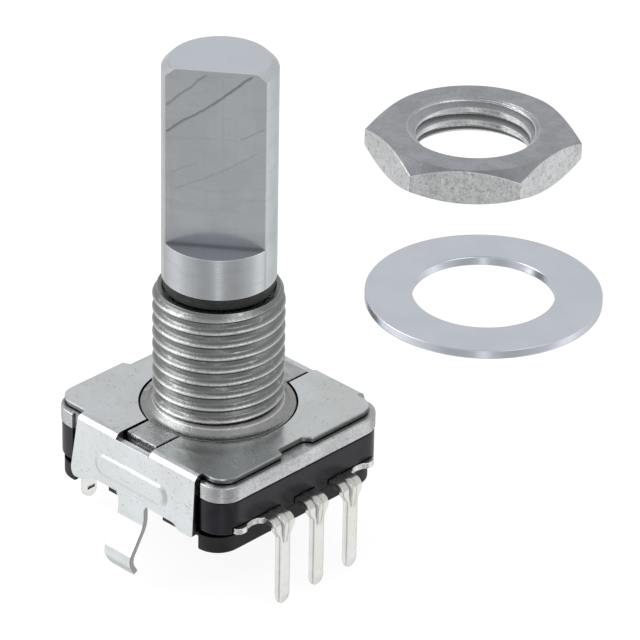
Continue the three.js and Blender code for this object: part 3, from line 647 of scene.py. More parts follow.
def cast_zinc():
    """Die-cast zinc: a grainy satin flange and a duller barrel, with painted shade in the thread roots and
    crevices and painted highlights on the thread crests and edges.
    """
    s = material_nodes("cast_zinc")
    grain = s.noise(7.0, 4)
    flow = s.noise(3.0, 3, stretch=(0.35, 0.35, 1.6), roughness=0.6)
    patch = s.noise(0.7, 4, roughness=0.65)
    at = s.split(s.where)
    across = s.add("CombineXYZ", {"X": at["X"], "Y": at["Y"]}).outputs[0]
    radius = s.add("VectorMath", {0: across}, operation="LENGTH").outputs["Value"]
    on_barrel = s.spread(at["Z"], metres(-0.2), metres(-0.05))
    on_barrel = s.times(on_barrel, s.math("LESS_THAN", radius, (BARREL_FOOT + 0.05) * MM))
    flank = (THREAD_CREST - 0.03) * MM
    # thread roots, for painted shade, and thread crests, for a painted highlight
    root = s.times(on_barrel, s.spread(radius, (THREAD_ROOT + 0.09) * MM, flank, 1.0, 0.0))
    crest = s.times(on_barrel, s.spread(radius, flank, (THREAD_CREST - 0.005) * MM))
    crest = s.times(crest, s.math("LESS_THAN", radius, (THREAD_CREST + 0.03) * MM))
    low_down = s.spread(at["Z"], metres(0.5), metres(5.0), 1.0, 0.0)
    color = s.coats(
        s.cloudy(patch, grey(0.56, (0.98, 1, 1.02)), grey(0.70, (0.985, 1, 1.01))),
        (s.times(on_barrel, 0.75), grey(0.41, (0.96, 1.0, 1.0))),
        (s.times(on_barrel, low_down, 0.35), grey(0.34, (1.02, 1.02, 0.93))),
        # painted shade in the thread roots and painted highlight on the crests
        (s.times(root, 0.55), grey(0.15, (0.97, 1.0, 1.0))),
        (s.times(crest, 0.75), grey(0.88)),
        (s.spread(grain, 0.55, 0.72, 0.0, 0.6), grey(0.24)),
        (s.spread(flow, 0.56, 0.70, 0.0, 0.45), grey(0.30, (1.0, 1.0, 0.98))),
        (s.spread(flow, 0.30, 0.42, 0.4, 0.0), grey(0.85)),
        # painted highlight along the edges and painted shade in crevices
        (s.times(s.edges(0.05), 0.85), grey(0.92)),
        (s.crease_shade(0.30), grey(0.03)),
    )
    rough = s.spread(grain, 0.3, 0.7, 0.22, 0.38)
    height = s.plus(grain, s.times(s.noise(2.2, 2), 0.9))
    return s.finish(color, rough, 1.0, s.bump(height, 0.012))


def line_mask(s, across, height, start, end, width):
    """1 along a thin slanting line on the shaft's flat; start and end are [across, height] in metres."""
    length = math.dist(start, end)
    along_x, along_z = (end[0] - start[0]) / length, (end[1] - start[1]) / length
    off_x = s.math("SUBTRACT", across, start[0])
    off_z = s.math("SUBTRACT", height, start[1])
    beside = s.plus(s.times(off_x, -along_z), s.times(off_z, along_x))
    along = s.plus(s.times(off_x, along_x), s.times(off_z, along_z))
    near = s.spread(s.math("ABSOLUTE", beside), 0.0, width, 1.0, 0.0)
    started = s.spread(along, 0.0, length * 0.04, 0.0, 1.0)
    ended = s.spread(along, length * 0.9, length, 1.0, 0.0)
    return s.times(near, started, ended)


# marks on the shaft's flat: start and end as [across, height] in millimetres, half width, depth of tone
FLAT_MARKS = (
    ((-2.6, 16.4), (-0.1, 18.2), 0.12, 0.8), ((-0.3, 18.0), (1.95, 19.95), 0.13, 0.85),
    ((-2.6, 17.9), (-0.4, 19.85), 0.11, 0.6), ((1.2, 16.25), (2.5, 16.95), 0.09, 0.3),
    ((-2.2, 13.15), (0.1, 14.25), 0.10, 0.22), ((0.0, 14.2), (2.2, 15.6), 0.10, 0.22),
    ((-2.4, 14.1), (-0.9, 14.8), 0.09, 0.2),
)


def turned_metal():
    """The shaft: fine turned rings, faint streaks, and a few slanting scratches on its flat; painted
    reflection tones on its up-facing faces, painted highlights on its edges and painted shade in crevices.
    """
    s = material_nodes("turned_metal")
    rings = s.noise(14.0, 2, stretch=(0.03, 0.03, 1.0))
    streak = s.noise(2.5, 2, stretch=(1.0, 1.0, 0.04))
    cloud = s.noise(0.4, 3)
    grain = s.noise(7.0, 3)
    band = s.noise(1.1, 2, stretch=(0.35, 0.35, 2.2), turn=(0.0, 0.62, -0.93))
    at = s.split(s.where)
    wobble = s.times(s.math("SUBTRACT", s.noise(1.1, 3), 0.5), 0.3 * MM)
    height_z = s.plus(at["Z"], wobble)
    sine, cosine = math.sin(FLAT_TURN), math.cos(FLAT_TURN)
    across = s.math("SUBTRACT", s.times(at["Y"], cosine), s.times(at["X"], sine))
    depth = s.plus(s.times(at["X"], cosine), s.times(at["Y"], sine))
    skin = s.spread(depth, (FLAT_DISTANCE - 0.10) * MM, (FLAT_DISTANCE - 0.04) * MM)
    flat = s.times(skin, s.math("GREATER_THAN", (FLAT_DISTANCE + 0.06) * MM, depth))
    marks = 0.0
    for start, end, width, strength in FLAT_MARKS:
        ends = [(mark_x * MM, metres(mark_z)) for mark_x, mark_z in (start, end)]
        line = s.times(line_mask(s, across, height_z, *ends, width * MM), strength)
        marks = s.math("MAXIMUM", marks, line)
    marks = s.times(marks, flat)
    # painted reflection tones by facing: bluish on the up-facing end face, dark on the ledge at the foot of
    # the flat
    level = facing_up(s)
    near_end = s.spread(height_z, metres(SHAFT_HIGH[2] - 1), metres(SHAFT_HIGH[2] - 0.5))
    end_face_reflection_tint = s.times(level, near_end)
    step = s.times(level, s.math("SUBTRACT", 1.0, near_end), 0.9)
    # painted dark band, the ledge's reflection, on the flat just above it
    near_step_shade = s.spread(height_z, metres(FLAT_BOTTOM), metres(FLAT_BOTTOM + 1.3), 1.0, 0.0)
    near_step_shade = s.times(near_step_shade, skin, 0.4)
    round_skin = s.cloudy(cloud, grey(0.74, (0.965, 1, 1.03)), grey(0.82, (0.965, 1, 1.03)))
    flat_skin = s.cloudy(cloud, grey(0.67, (0.955, 1, 1.035)), grey(0.72, (0.955, 1, 1.035)))
    color = s.coats(
        s.mix(flat, round_skin, flat_skin),
        (s.spread(streak, 0.55, 0.75, 0.0, 0.3), grey(0.60, (0.96, 1.0, 1.03))),
        (s.spread(grain, 0.58, 0.75, 0.0, 0.35), grey(0.50, (0.96, 1.0, 1.03))),
        (s.times(s.spread(band, 0.55, 0.68), 0.16), grey(0.50, (0.98, 1.0, 1.02))),
        # painted reflections on the up-facing faces and painted shade on the flat above the ledge
        (end_face_reflection_tint, grey(0.80, (0.95, 1.0, 1.09))),
        (step, grey(0.44, (0.95, 1.0, 1.14))),
        (near_step_shade, grey(0.42, (0.96, 1.0, 1.08))),
        (marks, grey(0.24, (0.97, 1.0, 1.03))),
        # painted highlight along the edges and painted shade in crevices
        (s.times(s.edges(0.12, 0.01, 0.15), 0.95), grey(1.0)),
        (s.times(s.crease_shade(0.35), 0.9), grey(0.16)),
    )
    turned_share = s.math("SUBTRACT", 1.0, s.times(flat, 0.9))
    rings = s.times(s.math("SUBTRACT", rings, 0.5), turned_share)
    rough = s.plus(s.spread(rings, -0.15, 0.15, 0.20, 0.28), s.times(marks, 0.2))
    height = s.plus(s.plus(s.times(rings, 0.4), s.times(marks, -2.0)), s.times(grain, 0.5))
    return s.finish(color, rough, 1.0, s.bump(height, 0.005), {"Anisotropic": 0.3})


def nut_metal():
    s = material_nodes("nut_metal")
    grain = s.noise(7.0, 4)
    patch = s.noise(0.8, 4, roughness=0.65)
    # painted light: the sides are a lit copy of the zinc, the up-facing top a darker, bluish shaded copy
    side = s.cloudy(patch, grey(0.74, (0.98, 1, 1.01)), grey(0.86, (0.98, 1, 1.01)))
    top = s.cloudy(patch, grey(0.44, (0.96, 1, 1.06)), grey(0.52, (0.96, 1, 1.07)))
    pitted = s.mix(s.spread(s.noise(3.6, 4, roughness=0.7), 0.48, 0.68, 0.0, 0.6), side, grey(0.38))
    color = s.coats(
        s.mix(facing_up(s, 0.55, 0.75), pitted, top),
        (s.spread(grain, 0.54, 0.72, 0.0, 0.6), grey(0.36)),
        # painted highlight along the edges and painted shade in crevices
        (s.times(s.edges(0.12, 0.01, 0.12), 0.95), grey(1.0)),
        (s.crease_shade(0.5), grey(0.12)),
    )
    rough = s.spread(grain, 0.3, 0.7, 0.22, 0.38)
    height = s.plus(grain, s.noise(1.6, 2))
    return s.finish(color, rough, 1.0, s.bump(height, 0.012))


def washer_metal():
    s = material_nodes("washer_metal")
    cloud = s.noise(0.5, 3)
    speck = s.noise(6.0, 3)
    color = s.cloudy(cloud, grey(0.80, (0.95, 1, 1.10)), grey(0.84, (0.955, 1, 1.09)))
    color = s.mix(s.spread(speck, 0.62, 0.76, 0.0, 0.3), color, grey(0.66, (0.97, 1, 1.08)))
    # painted highlight along the edges
    color = s.mix(s.edges(0.10, 0.01, 0.15), color, grey(1.0))
    rough = s.spread(cloud, 0.3, 0.7, 0.20, 0.26)
    height = s.plus(s.times(cloud, 0.4), s.times(speck, 0.25))
    return s.finish(color, rough, 1.0, s.bump(height, 0.006))


def terminal_tin():
    s = material_nodes("terminal_tin")
    cloud = s.noise(1.0, 3)
    drawn = s.noise(6.0, 2, stretch=(1.0, 1.0, 0.08))
    blot = s.noise(2.4, 3)
    color = s.coats(
        s.cloudy(cloud, grey(0.80, (1.01, 1, 0.97)), grey(0.90, (1.0, 1, 0.98))),
        (s.spread(drawn, 0.58, 0.78, 0.0, 0.4), grey(0.58, (1.02, 1, 0.94))),
        (s.spread(blot, 0.60, 0.72, 0.0, 0.35), grey(0.55, (1.02, 1, 0.93))),
        # painted highlight along the edges and painted shade in crevices
        (s.times(s.edges(0.04), 0.6), grey(0.96)),
        (s.crease_shade(0.25), grey(0.10)),
    )
    rough = s.spread(cloud, 0.3, 0.7, 0.18, 0.30)
    height = s.plus(s.times(cloud, 0.8), s.times(drawn, 0.25))
    return s.finish(color, rough, 1.0, s.bump(height, 0.010))


def spring_metal(name, value, tint, rough_low):
    """Bare strip metal with rolling lines, for the springs and contacts inside."""
    s = material_nodes(name)
    rolled = s.noise(8.0, 2, stretch=(0.06, 1.0, 1.0))
    cloud = s.noise(0.7, 3)
    color = s.mix(s.spread(cloud, 0.3, 0.7), grey(value * 0.9, tint), grey(value * 1.08, tint))
    # painted highlight along the edges
    color = s.mix(s.edges(0.03), color, grey(value * 1.25, tint))
    rough = s.spread(rolled, 0.3, 0.7, rough_low, rough_low + 0.12)
    return s.finish(color, rough, 1.0, s.bump(rolled, 0.004))


def moulded_plastic(name, low, high, tint, rough_low, rough_high, overhang_shadow=False):
    """Moulded plastic: a fine spark-eroded texture, slight cloudiness, painted highlights on the edges and
    painted shade in crevices, and if asked for a painted black shadow line where the lower base meets the
    housing above it."""
    s = material_nodes(name)
    grain = s.noise(12.0, 3)
    cloud = s.noise(0.8, 3)
    color = s.mix(s.spread(cloud, 0.3, 0.7), grey(low, tint), grey(high, tint))
    # painted highlight along the edges
    color = s.mix(s.times(s.edges(0.08), 0.6), color, grey(high * 4.0, tint))
    # painted shade in crevices, which also takes the sheen out
    shaded = s.crease_shade(0.5, 0.25, 0.8)
    color = s.mix(shaded, color, grey(low * 0.1))
    if overhang_shadow:
        # painted shadow: a black band on the lower base under the housing's overhang
        line = s.spread(s.split(s.where)["Z"], metres(-3.58), metres(-3.5))
        shaded = s.math("MAXIMUM", shaded, line)
        color = s.mix(line, color, grey(0.001))
    sheen = s.times(s.math("SUBTRACT", 1.0, shaded), 0.3)
    rough = s.spread(cloud, 0.3, 0.7, rough_low, rough_high)
    height = s.plus(grain, s.times(s.noise(1.5, 2), 1.2))
    return s.finish(color, rough, 0.0, s.bump(height, 0.006), {"Specular IOR Level": sheen})


def seal_black():
    s = material_nodes("seal_black")
    grain = s.noise(10.0, 3)
    cloud = s.noise(1.5, 2)
    color = s.mix(s.spread(cloud, 0.3, 0.7), grey(0.010), grey(0.022, (0.9, 1.0, 1.05)))
    return s.finish(color, s.spread(grain, 0.3, 0.7, 0.42, 0.6), 0.0, s.bump(grain, 0.01))


def floor_paper():
    """The pale studio floor: back-lit white paper, so that only a breath of shadow is left on it."""
    s = material_nodes("floor_paper")
    cloud = s.noise(0.02, 2)
    color = s.mix(s.spread(cloud, 0.3, 0.7), grey(0.26), grey(0.28))
    return s.finish(color, 0.9, 0.0, more={"Emission Color": grey(1.0), "Emission Strength": 0.86})


TIN = plated_steel()
ZINC = cast_zinc()
TURNED = turned_metal()
NUT_METAL = nut_metal()
WASHER_METAL = washer_metal()
TERMINAL = terminal_tin()
BRONZE = spring_metal("spring_bronze", 0.55, (1.15, 0.82, 0.48), 0.22)
SPRING = spring_metal("spring_steel", 0.62, (0.98, 1.0, 1.02), 0.2)
BLACK = moulded_plastic("black_plastic", 0.008, 0.014, (1.05, 0.92, 1.3), 0.14, 0.24)
BLACK_MATT = moulded_plastic("black_plastic_matt", 0.009, 0.016, (1.0, 0.98, 1.06), 0.42, 0.55, overhang_shadow=True)
GREY_PLASTIC = moulded_plastic("grey_plastic", 0.50, 0.56, (1.0, 0.97, 0.88), 0.4, 0.5)
SEAL = seal_black()


# ---- the shaft and its seal ring
def build_shaft():
    top = SHAFT_HIGH[2]
    bottom = SHAFT_LOW[2]
    shoulder = SEAL_HIGH[2] + 0.02
    profile = rounded(
        [
            (0, bottom), (1.25, bottom), (1.25, DRIVE_TOP), (NECK, DRIVE_TOP), (NECK, GROOVE_BOTTOM),
            (1.5, GROOVE_BOTTOM), (1.5, GROOVE_TOP), (BORE - 0.05, GROOVE_TOP), (BORE - 0.05, shoulder),
            (SHAFT, shoulder), (SHAFT, top - 0.42), (SHAFT - 0.42, top), (0, top),
        ],
        [0, 0.1, 0, 0.08, 0, 0, 0, 0, 0, 0.05, 0.06, 0.07, 0],
    )
    shaft = turned(profile, 160)
    flat = box(FLAT_DISTANCE, 5, -4, 4, FLAT_BOTTOM, top + 1)
    flat.data.transform(Matrix.Rotation(FLAT_TURN, 4, "Z"))
    cut(shaft, flat)
    for side in (-1, 1):
        cut(shaft, side_box(side, (-3, 3), (DRIVE_HALF_WIDTH, 3), bottom - 1, GROOVE_BOTTOM))
    bevel(shaft, 0.06, 3, 28)
    place(smooth(shaft), "shaft_turned", "shaft", "turned_metal", TURNED, "shaft")


def build_seal():
    low, high = SEAL_LOW[2], SEAL_HIGH[2]
    outer, inner = SEAL_HIGH[0], 2.48
    middle = (low + high) / 2
    profile = rounded(
        [(inner, middle), (inner, low), (outer, low), (outer, middle - 0.03), (outer - 0.03, middle),
         (outer, middle + 0.03), (outer, high), (inner, high), (inner, middle + 0.05)],
        [0, 0.02, 0.07, 0.01, 0.02, 0.01, 0.07, 0.02, 0],
    )
    ring = ring_turned(profile)
    place(smooth(ring), "seal_ring_black", "shaft", "seal_black", SEAL, "seal_ring")


# ---- the die-cast bushing and its flange
def waist_cut(thing, length, half_width):
    """Clears the sides of the body between its corners, where the bracket's walls lie."""
    for side in (-1, 1):
        cut(thing, side_box(side, length, (half_width, 9), -6, 1))
    return thing


def build_bushing():
    top = BUSHING_HIGH[2]
    bottom = BUSHING_LOW[2]
    foot = BARREL_FOOT
    pocket_floor = -0.55
    seal_floor = top - 0.62

    def lead_in(z):
        return min(THREAD_CREST, 3.22 + (top - z) * 0.62)

    barrel = threaded_rod(THREAD_ROOT, THREAD_CREST, 0.4, top, lead_in)
    foot_profile = rounded(
        [(0, bottom + 0.1), (foot, bottom + 0.1), (foot, -0.03), (3.8, -0.03), (3.26, 0.5), (0, 0.5)],
        [0, 0, 0.05, 0.16, 0.12, 0],
    )
    body = rounded_block(BUSHING_HIGH[0], BUSHING_HIGH[1], CORNER, bottom, -SHEET - FLANGE_GAP, 0.1)
    waist_cut(body, WAIST_X, WAIST_Y)
    for side in (-1, 1):
        cut(body, side_box(side, (-KEYWAY, KEYWAY), (3.9, 7), pocket_floor, 1))
    join(body, turned(foot_profile, 144), barrel)
    keys = box(-KEY, KEY, -5.55, 5.55, pocket_floor - 0.05, -0.01)
    bevel(keys, 0.07, 2)
    join(body, keys)
    bore = [(0, -2), (BORE, -2), (BORE, seal_floor)]
    seat = [(SEAL_SEAT, seal_floor), (SEAL_SEAT, top + 1), (0, top + 1)]
    cut(body, turned(bore + seat, 96), cylinder(4.6, -3, -0.75))
    place(smooth(body, 40), "bushing_cast", "frame", "cast_zinc", ZINC, "bushing")


# ---- the folded steel bracket
def channel_outline():
    """The splayed walls and the folds between them, as [across, height] points."""
    lean = math.radians(WALL_SPLAY)
    inner = FOLD - SHEET

    def wall_end(radius, side):
        across = FOLD_Y + radius * math.cos(lean) + WALL_LENGTH * math.sin(lean)
        return side * across, -FOLD + radius * math.sin(lean) - WALL_LENGTH * math.cos(lean)

    mirrored = 180 - WALL_SPLAY
    outline = [wall_end(inner, 1), wall_end(FOLD, 1)]
    outline += arc(FOLD_Y, -FOLD, FOLD, WALL_SPLAY, 90, 8)
    outline += arc(-FOLD_Y, -FOLD, FOLD, 90, mirrored, 8)
    outline += [wall_end(FOLD, -1), wall_end(inner, -1)]
    outline += arc(-FOLD_Y, -FOLD, inner, mirrored, 90, 4)
    outline += arc(FOLD_Y, -FOLD, inner, 90, WALL_SPLAY, 4)
    return outline


def pressed_rib(side):
    """A pressed rib on a wall: a stadium that rises in a smooth flank to a flat top."""
    length, height, z_middle, rise, flank = 5.4, 1.3, -2.2, 0.10, 0.28
    straight = (length - height) / 2
    steps = (
        (-0.1, -0.1), (-0.01, -0.1), (rise * 0.12, 0), (rise * 0.5, flank * 0.4),
        (rise * 0.88, flank * 0.75), (rise, flank * 1.1), (rise, flank * 1.7),
    )
    loops = []
    for depth, inset in steps:
        radius = height / 2 - inset
        outline = arc(straight, z_middle, radius, -90, 90, 14)
        outline += arc(-straight, z_middle, radius, 90, 270, 14)
        loops.append([(x, side * (WALL_Y + depth), z) for x, z in outline])
    rib = loft(loops)
    hinge = Matrix.Translation((0, side * FOLD_Y, -FOLD))
    lean = Matrix.Rotation(side * math.radians(WALL_SPLAY), 4, "X")
    rib.data.transform(hinge @ lean @ hinge.inverted())
    return rib


def leg(side):
    """A snap-in leg: straight down, out to a knee, and back in to its toe."""
    corners = [(6.22, -3.05), (6.17, -4.5), (7.2, -6.2), (7.22, -6.66), (6.84, -7.26)]
    path, distances = resample(rounded(corners, [0, 0.5, 0.35, 0.3, 0], 6), 0.09)
    sections = []
    for distance, (_, z) in zip(distances, path):
        flare = 0.14 * min(1.0, max(0.0, (z + 3.75) / 0.35)) ** 2
        toe = 0.12 * max(0.0, 1 - (distances[-1] - distance) / 0.2) ** 2
        sections.append((LEG_WIDTH / 2 + flare - toe, SHEET, 0))
    return strip([(side * across, z) for across, z in path], sections, 0, "Y", 0.05)


def build_bracket():
    body = slab(channel_outline(), "X", -6, 6)
    combine(body, slab(rounded(WALL_OUTLINE, 0.18), "Y", -8, 8), "INTERSECT")
    rear, front = BRACKET_LOW[0], BRACKET_HIGH[0]
    plate = prism(rounded_rectangle((front - rear) / 2, PLATE_Y, 1.0), -SHEET, 0)
    join(body, shift(plate, (front + rear) / 2, 0))
    notches = [prism(rounded(outline, 0.2), -1, 1) for outline in (FRONT_NOTCH, REAR_NOTCH)]
    cut(body, cylinder(HOLE, -1, 1, 144), *notches)
    tab_top = CONTACT_BOTTOM - 0.03
    for side in (-1, 1):
        for start, end in CRIMP_TABS:
            join(body, side_box(side, (start, end), (5.15, 6.15), tab_top - SHEET, tab_top))
        cut(body, side_box(side, (-KEYWAY, KEYWAY), (3.5, 7), -SHEET - 0.03, 1))
    bevel(body, 0.05, 2, 40)
    for side in (-1, 1):
        join(body, pressed_rib(side), leg(side))
    place(smooth(body, 38), "bracket_plated", "frame", "tin_plate", TIN, "bracket")


# ---- the black plastic housings
def build_contact_base():
    body = rounded_block(CONTACT_HIGH[0], CONTACT_HIGH[1], CORNER, CONTACT_BOTTOM, CONTACT_HIGH[2], 0.08)
    waist_cut(body, WAIST_X, WAIST_Y)
    cut(body, cylinder(4.7, TERMINAL_TOP, 0))
    join(body, cylinder(2.45, CONTACT_BOTTOM, -2.42, 72))
    for side in (-1, 1):
        for foot_x in FEET_X:
            join(body, side_box(side, foot_x, (5.15, 5.82), CONTACT_LOW[2], CONTACT_BOTTOM + 0.05))
    cut(body, cylinder(1.38, -4, -1, 72))
    channel = (-4, TERMINAL_TOP + CHANNEL_GAP)
    for y, root in ((-PITCH, OUTER_ROOT), (0, FRONT_ROOT), (PITCH, OUTER_ROOT)):
        cut(body, box(root - CHANNEL_GAP, 7, y - CHANNEL_HALF_WIDTH, y + CHANNEL_HALF_WIDTH, *channel))
        if y:
            cut(body, side_box(math.copysign(1, y), (6.15, 7), (3, 5.15), *channel))
    bevel(body, 0.03, 1, 50)
    place(smooth(body), "contact_base_moulded", "frame", "black_plastic", BLACK, "contact_base")


def build_switch_base():
    low, high = SWITCH_LOW[2], SWITCH_HIGH[2]
    rear, front = SWITCH_LOW[0], SWITCH_HIGH[0]
    body = rounded_block((front - rear) / 2, SWITCH_HIGH[1], CORNER, low, high, 0.1)
    waist_cut(shift(body, (front + rear) / 2, 0), SWITCH_WAIST_X, SWITCH_WAIST_Y)
    cut(body, cylinder(2.5, -4.25, 0, 72))
    bottom, top = -4.45, -4.29
    half = 0.33
    for y, contact_x, contact_y in ((-PITCH, -1.85, -1.25), (PITCH, 0, 0)):
        near, far = sorted((y, contact_y))
        cut(
            body,
            box(-7, -5.47, y - CHANNEL_HALF_WIDTH, y + CHANNEL_HALF_WIDTH, -4.1, -3.69),
            box(-5.88, -5.47, y - 0.43, y + 0.43, bottom, -3.7),
            box(-5.88, -3.37, y - half, y + half, bottom, top),
            box(-4.03, -3.37, near - half, far + half, bottom, top),
            box(-4.03, contact_x + half, contact_y - half, contact_y + half, bottom, top),
            box(contact_x - half, contact_x + half, contact_y - half, contact_y + half, bottom, -4.2),
        )
    bevel(body, 0.03, 1, 50)
    place(smooth(body), "switch_base_moulded", "frame", "black_plastic", BLACK_MATT, "switch_base")


# ---- terminals
def terminal(y, outer, inner_end, top, pin_width):
    """A stamped terminal: level out of the plastic, a ribbed bend with wide shoulders, and a coined pin."""
    way = math.copysign(1, outer)
    level = top - TERMINAL_THICK / 2
    column = outer - way * TERMINAL_THICK / 2
    corners = [(inner_end, level), (column, level), (column, PIN_TIP)]
    path, distances = resample(rounded(corners, [0, 0.34, 0], 8), 0.1)
    bend = abs(column - inner_end)
    sections = []
    for distance, (_, z) in zip(distances, path):
        taper = min(1.0, max(0.0, (top - z - 0.45) / 0.7))
        taper = taper * taper * (3 - 2 * taper)
        half = (SHOULDER + (pin_width - SHOULDER) * taper) / 2
        to_tip = distances[-1] - distance
        if to_tip < 0.45:
            half *= math.sqrt(max(0.02, 1 - (1 - to_tip / 0.45) ** 2)) * 0.75 + 0.25
        depth = TERMINAL_THICK - 0.15 * max(0.0, 1 - to_tip / 0.5)
        crease = 0.06 * math.exp(-(((to_tip - 0.95) / 0.07) ** 2))
        rib = 0.13 * max(0.0, 1 - abs(distance - bend) / 1.15) ** 0.6
        sections.append((half, depth - crease, rib))
    if way < 0:
        path, sections = path[::-1], sections[::-1]
    return strip(path, sections, y, "X", 0.06)


def ear(side):
    """The flat ear beside an outer terminal, with an arched notch in its front edge."""
    front = [
        (6.7, 3.1), (6.7, 3.35), (6.5, 3.5), (6.44, 3.85), (6.53, 4.3), (6.7, 4.45), (6.7, 4.85), (6.5, 5.1),
    ]
    outline = [(6.2, 3.1)] + rounded(front, 0.12, 4) + [(6.2, 5.1)]
    plate = prism([(x, side * y) for x, y in outline], TERMINAL_TOP - TERMINAL_THICK, TERMINAL_TOP)
    return bevel(plate, 0.05, 2)


def build_terminals():
    for name, y, root in (
        ("terminal_a", -PITCH, OUTER_ROOT), ("terminal_c", 0, FRONT_ROOT), ("terminal_b", PITCH, OUTER_ROOT),
    ):
        pin = terminal(y, FRONT_PIN_HIGH[0], root, TERMINAL_TOP, FRONT_PIN)
        if y:
            join(pin, ear(math.copysign(1, y)))
        place(smooth(pin, 50), name + "_pin", "frame", "terminal_tin", TERMINAL, name)
    for name, y in (("switch_terminal_d", -PITCH), ("switch_terminal_e", PITCH)):
        pin = terminal(y, BACK_PIN_LOW[0], BACK_ROOT, SWITCH_TERMINAL_TOP, BACK_PIN)
        place(smooth(pin, 50), name + "_pin", "frame", "terminal_tin", TERMINAL)


# ---- panel nut and washer
def box_centre(low, high):
    """Centre of a CAD node's box."""
    return [(start + end) / 2 for start, end in zip(low, high)]


def build_nut():
    half_height = (NUT_HIGH[2] - NUT_LOW[2]) / 2
    flat, corner = 5.0, 5.0 / math.cos(math.pi / 6)
    turns = [NUT_TURN + (k + 0.5) * math.pi / 3 for k in range(6)]
    hexagon = [(corner * math.cos(turn), corner * math.sin(turn)) for turn in turns]
    body = prism(hexagon, -half_height, half_height)
    rim = half_height - 0.58
    cone = [(0, half_height), (flat - 0.1, half_height), (corner + 0.05, rim)]
    combine(body, turned([(r, -z) for r, z in cone] + cone[::-1], 144), "INTERSECT")
    bevel(body, 0.05, 2, 25)
    cut(body, threaded_rod(3.06, 3.46, -half_height - 0.3, half_height + 0.3))
    lead, end = half_height - 0.42, half_height + 0.1
    cut(
        body,
        turned([(0, lead), (3.02, lead), (3.62, end), (0, end)]),
        turned([(0, -end), (3.62, -end), (3.02, -lead), (0, -lead)]),
    )
    shift(body, *box_centre(NUT_LOW, NUT_HIGH))
    place(smooth(body, 36), "hex_nut_plated", "nut", "nut_metal", NUT_METAL, "hex_nut")
    body.visible_glossy = False


def build_washer():
    low, high = WASHER_LOW[2], WASHER_HIGH[2]
    outer = (WASHER_HIGH[0] - WASHER_LOW[0]) / 2
    inner = 3.6
    centre_x, centre_y, level = box_centre(WASHER_LOW, WASHER_HIGH)
    profile = rounded(
        [(inner, level), (inner, low), (outer, low), (outer, high), (inner, high), (inner, level + 0.01)],
        [0, 0.06, 0.12, 0.05, 0.1, 0],
    )
    ring = shift(ring_turned(profile, 160), centre_x, centre_y)
    place(smooth(ring, 50), "washer_plated", "washer", "washer_metal", WASHER_METAL, "washer")
    ring.visible_glossy = False


# ---- the pieces inside
def build_dome():
    """The switch's dome in its rest shape; the real one flattens as the shaft is pressed."""
    rim, rise, sheet, foot = 2.3, 0.45, 0.1, -4.23
    curve = (rim * rim + rise * rise) / (2 * rise)
    under = []
    for step in range(13):
        radius = rim * step / 12
        under.append((radius, foot + rise - (curve - math.sqrt(curve * curve - radius * radius))))
    over = [(radius, z + sheet) for radius, z in reversed(under)]
    dome = smooth(turned(under + over, 96))
    place(dome, "snap_dome_sheet", "frame", "spring_steel", SPRING, "snap_dome")
    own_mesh(dome)


def dress_inner_parts():
    """The other pieces inside keep their CAD shape, and only get their finish."""
    finishes = {
        "detent_spring": SPRING, "retaining_clip": SPRING, "code_disc": BRONZE,
        "wiper_a": BRONZE, "wiper_b": BRONZE, "wiper_c": BRONZE, "rotor": GREY_PLASTIC,
        "switch_plunger": GREY_PLASTIC, "switch_terminal_d": TERMINAL, "switch_terminal_e": TERMINAL,
    }
    for node, material in finishes.items():
        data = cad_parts[node].data
        data.materials.clear()
        data.materials.append(material)


for build_piece in (
    build_shaft, build_seal, build_bushing, build_bracket, build_contact_base, build_switch_base,
    build_terminals, build_nut, build_washer, build_dome, dress_inner_parts,
):
    build_piece()


# ---- studio
def build_floor():
    level = cad_low[2] - 0.0004
    corners = [(-1.5, -1.5, level), (1.5, -1.5, level), (1.5, 1.5, level), (-1.5, 1.5, level)]
    floor = mesh_object("studio_floor", corners, [(0, 1, 2, 3)])
    floor.data.materials.append(floor_paper())
    floor.visible_glossy = False


# the tent's brightness: by compass direction, where 0.5 is straight towards the camera, and by height
BRIGHTNESS_AROUND = (
    (0.0, 0.70), (0.10, 0.62), (0.245, 0.95), (0.33, 0.64), (0.42, 0.44), (0.472, 0.48), (0.50, 0.95),
    (0.528, 0.48), (0.59, 0.43), (0.67, 0.58), (0.75, 0.98), (0.82, 0.68), (0.91, 0.60), (1.0, 0.70),
)
BRIGHTNESS_UP = ((0.0, 0.8), (0.5, 0.58), (0.62, 0.60), (0.75, 0.64), (0.88, 0.60), (1.0, 0.42))


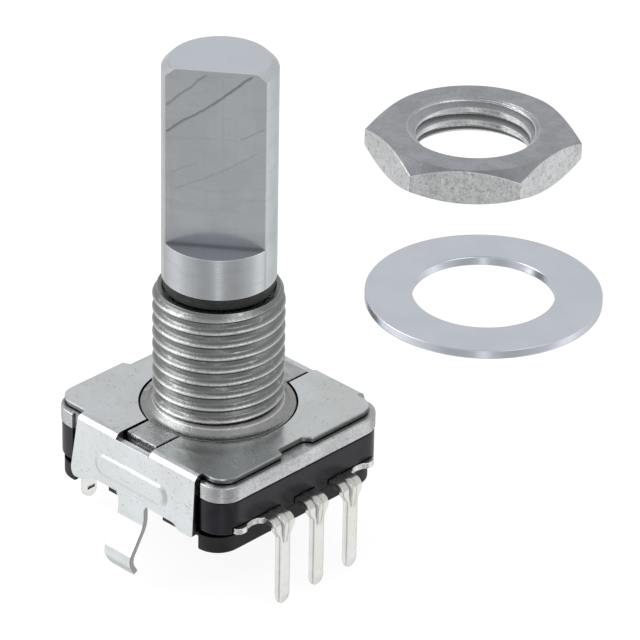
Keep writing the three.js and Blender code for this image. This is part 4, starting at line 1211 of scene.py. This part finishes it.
def build_world():
    """A white tent: brightness by compass direction below the horizon, and by height above it."""
    world = bpy.data.worlds.new("studio_tent")
    bpy.context.scene.world = world
    s = Shader(world, "Generated")
    spun = s.add("VectorRotate", {"Vector": s.where, "Angle": CAMERA_TURN}, rotation_type="Z_AXIS")
    ahead = s.split(spun.outputs[0])
    compass = s.math("ARCTAN2", ahead["Y"], ahead["X"])
    height = s.split(s.where)["Z"]
    around = s.ramp(s.spread(compass, -math.pi, math.pi, shape="LINEAR"), BRIGHTNESS_AROUND)
    by_height = s.ramp(s.spread(height, -1, 1, shape="LINEAR"), BRIGHTNESS_UP)
    tent = s.add("Background", {"Color": s.mix(s.spread(height, -0.12, 0.16), around, by_height)})
    backdrop = s.add("Background", {"Color": grey(0.97)})
    to_camera = s.add("LightPath").outputs["Is Camera Ray"]
    shown = s.add("MixShader", {0: to_camera, 1: tent.outputs[0], 2: backdrop.outputs[0]})
    s.add("OutputWorld", {"Surface": shown.outputs[0]})


def area_light(name, direction, distance, size, power):
    light = bpy.data.lights.new(name, "AREA")
    light.shape = "DISK"
    light.size = size
    light.energy = power
    lamp = new_object(name, light)
    aim = Vector((0, 0, metres(5)))
    toward = Vector(direction).normalized()
    lamp.location = aim + toward * distance
    lamp.rotation_euler = toward.to_track_quat("Z", "Y").to_euler()


def build_lights():
    area_light("key_softbox", (-0.60, -0.66, 0.43), 0.5, 0.50, 1.0)
    area_light("fill_softbox", (0.9, -0.1, 0.5), 0.5, 0.4, 0.32)


# ---- camera
CAMERA_AZIMUTH = math.radians(43.92)
CAMERA_ELEVATION = math.radians(29.66)
CAMERA_ROLL = math.radians(1.063)
CAMERA_DISTANCE = 0.2458
CAMERA_LENS = 263.74
CAMERA_AIM = (0.00525, 0.00431)  # right of and above the middle of the panel face, across the view
CAMERA_TURN = math.pi / 2 - CAMERA_AZIMUTH


def build_camera():
    back = Vector((
        math.sin(CAMERA_AZIMUTH) * math.cos(CAMERA_ELEVATION),
        -math.cos(CAMERA_AZIMUTH) * math.cos(CAMERA_ELEVATION),
        math.sin(CAMERA_ELEVATION),
    ))
    right = Vector((math.cos(CAMERA_AZIMUTH), math.sin(CAMERA_AZIMUTH), 0))
    up = back.cross(right)
    aim = right * CAMERA_AIM[0] + up * CAMERA_AIM[1] + Vector((0, 0, metres(0)))
    rolled_right = right * math.cos(CAMERA_ROLL) + up * math.sin(CAMERA_ROLL)
    rolled_up = up * math.cos(CAMERA_ROLL) - right * math.sin(CAMERA_ROLL)
    data = bpy.data.cameras.new("camera")
    data.lens = CAMERA_LENS
    data.sensor_width = 36
    data.clip_start = 0.01
    data.clip_end = 10
    camera = new_object("camera", data)
    place_matrix = Matrix((rolled_right, rolled_up, back)).transposed().to_4x4()
    place_matrix.translation = aim + back * CAMERA_DISTANCE
    camera.matrix_world = place_matrix
    bpy.context.scene.camera = camera


build_floor()
build_world()
build_lights()
build_camera()
bpy.context.scene.view_settings.view_transform = "Standard"
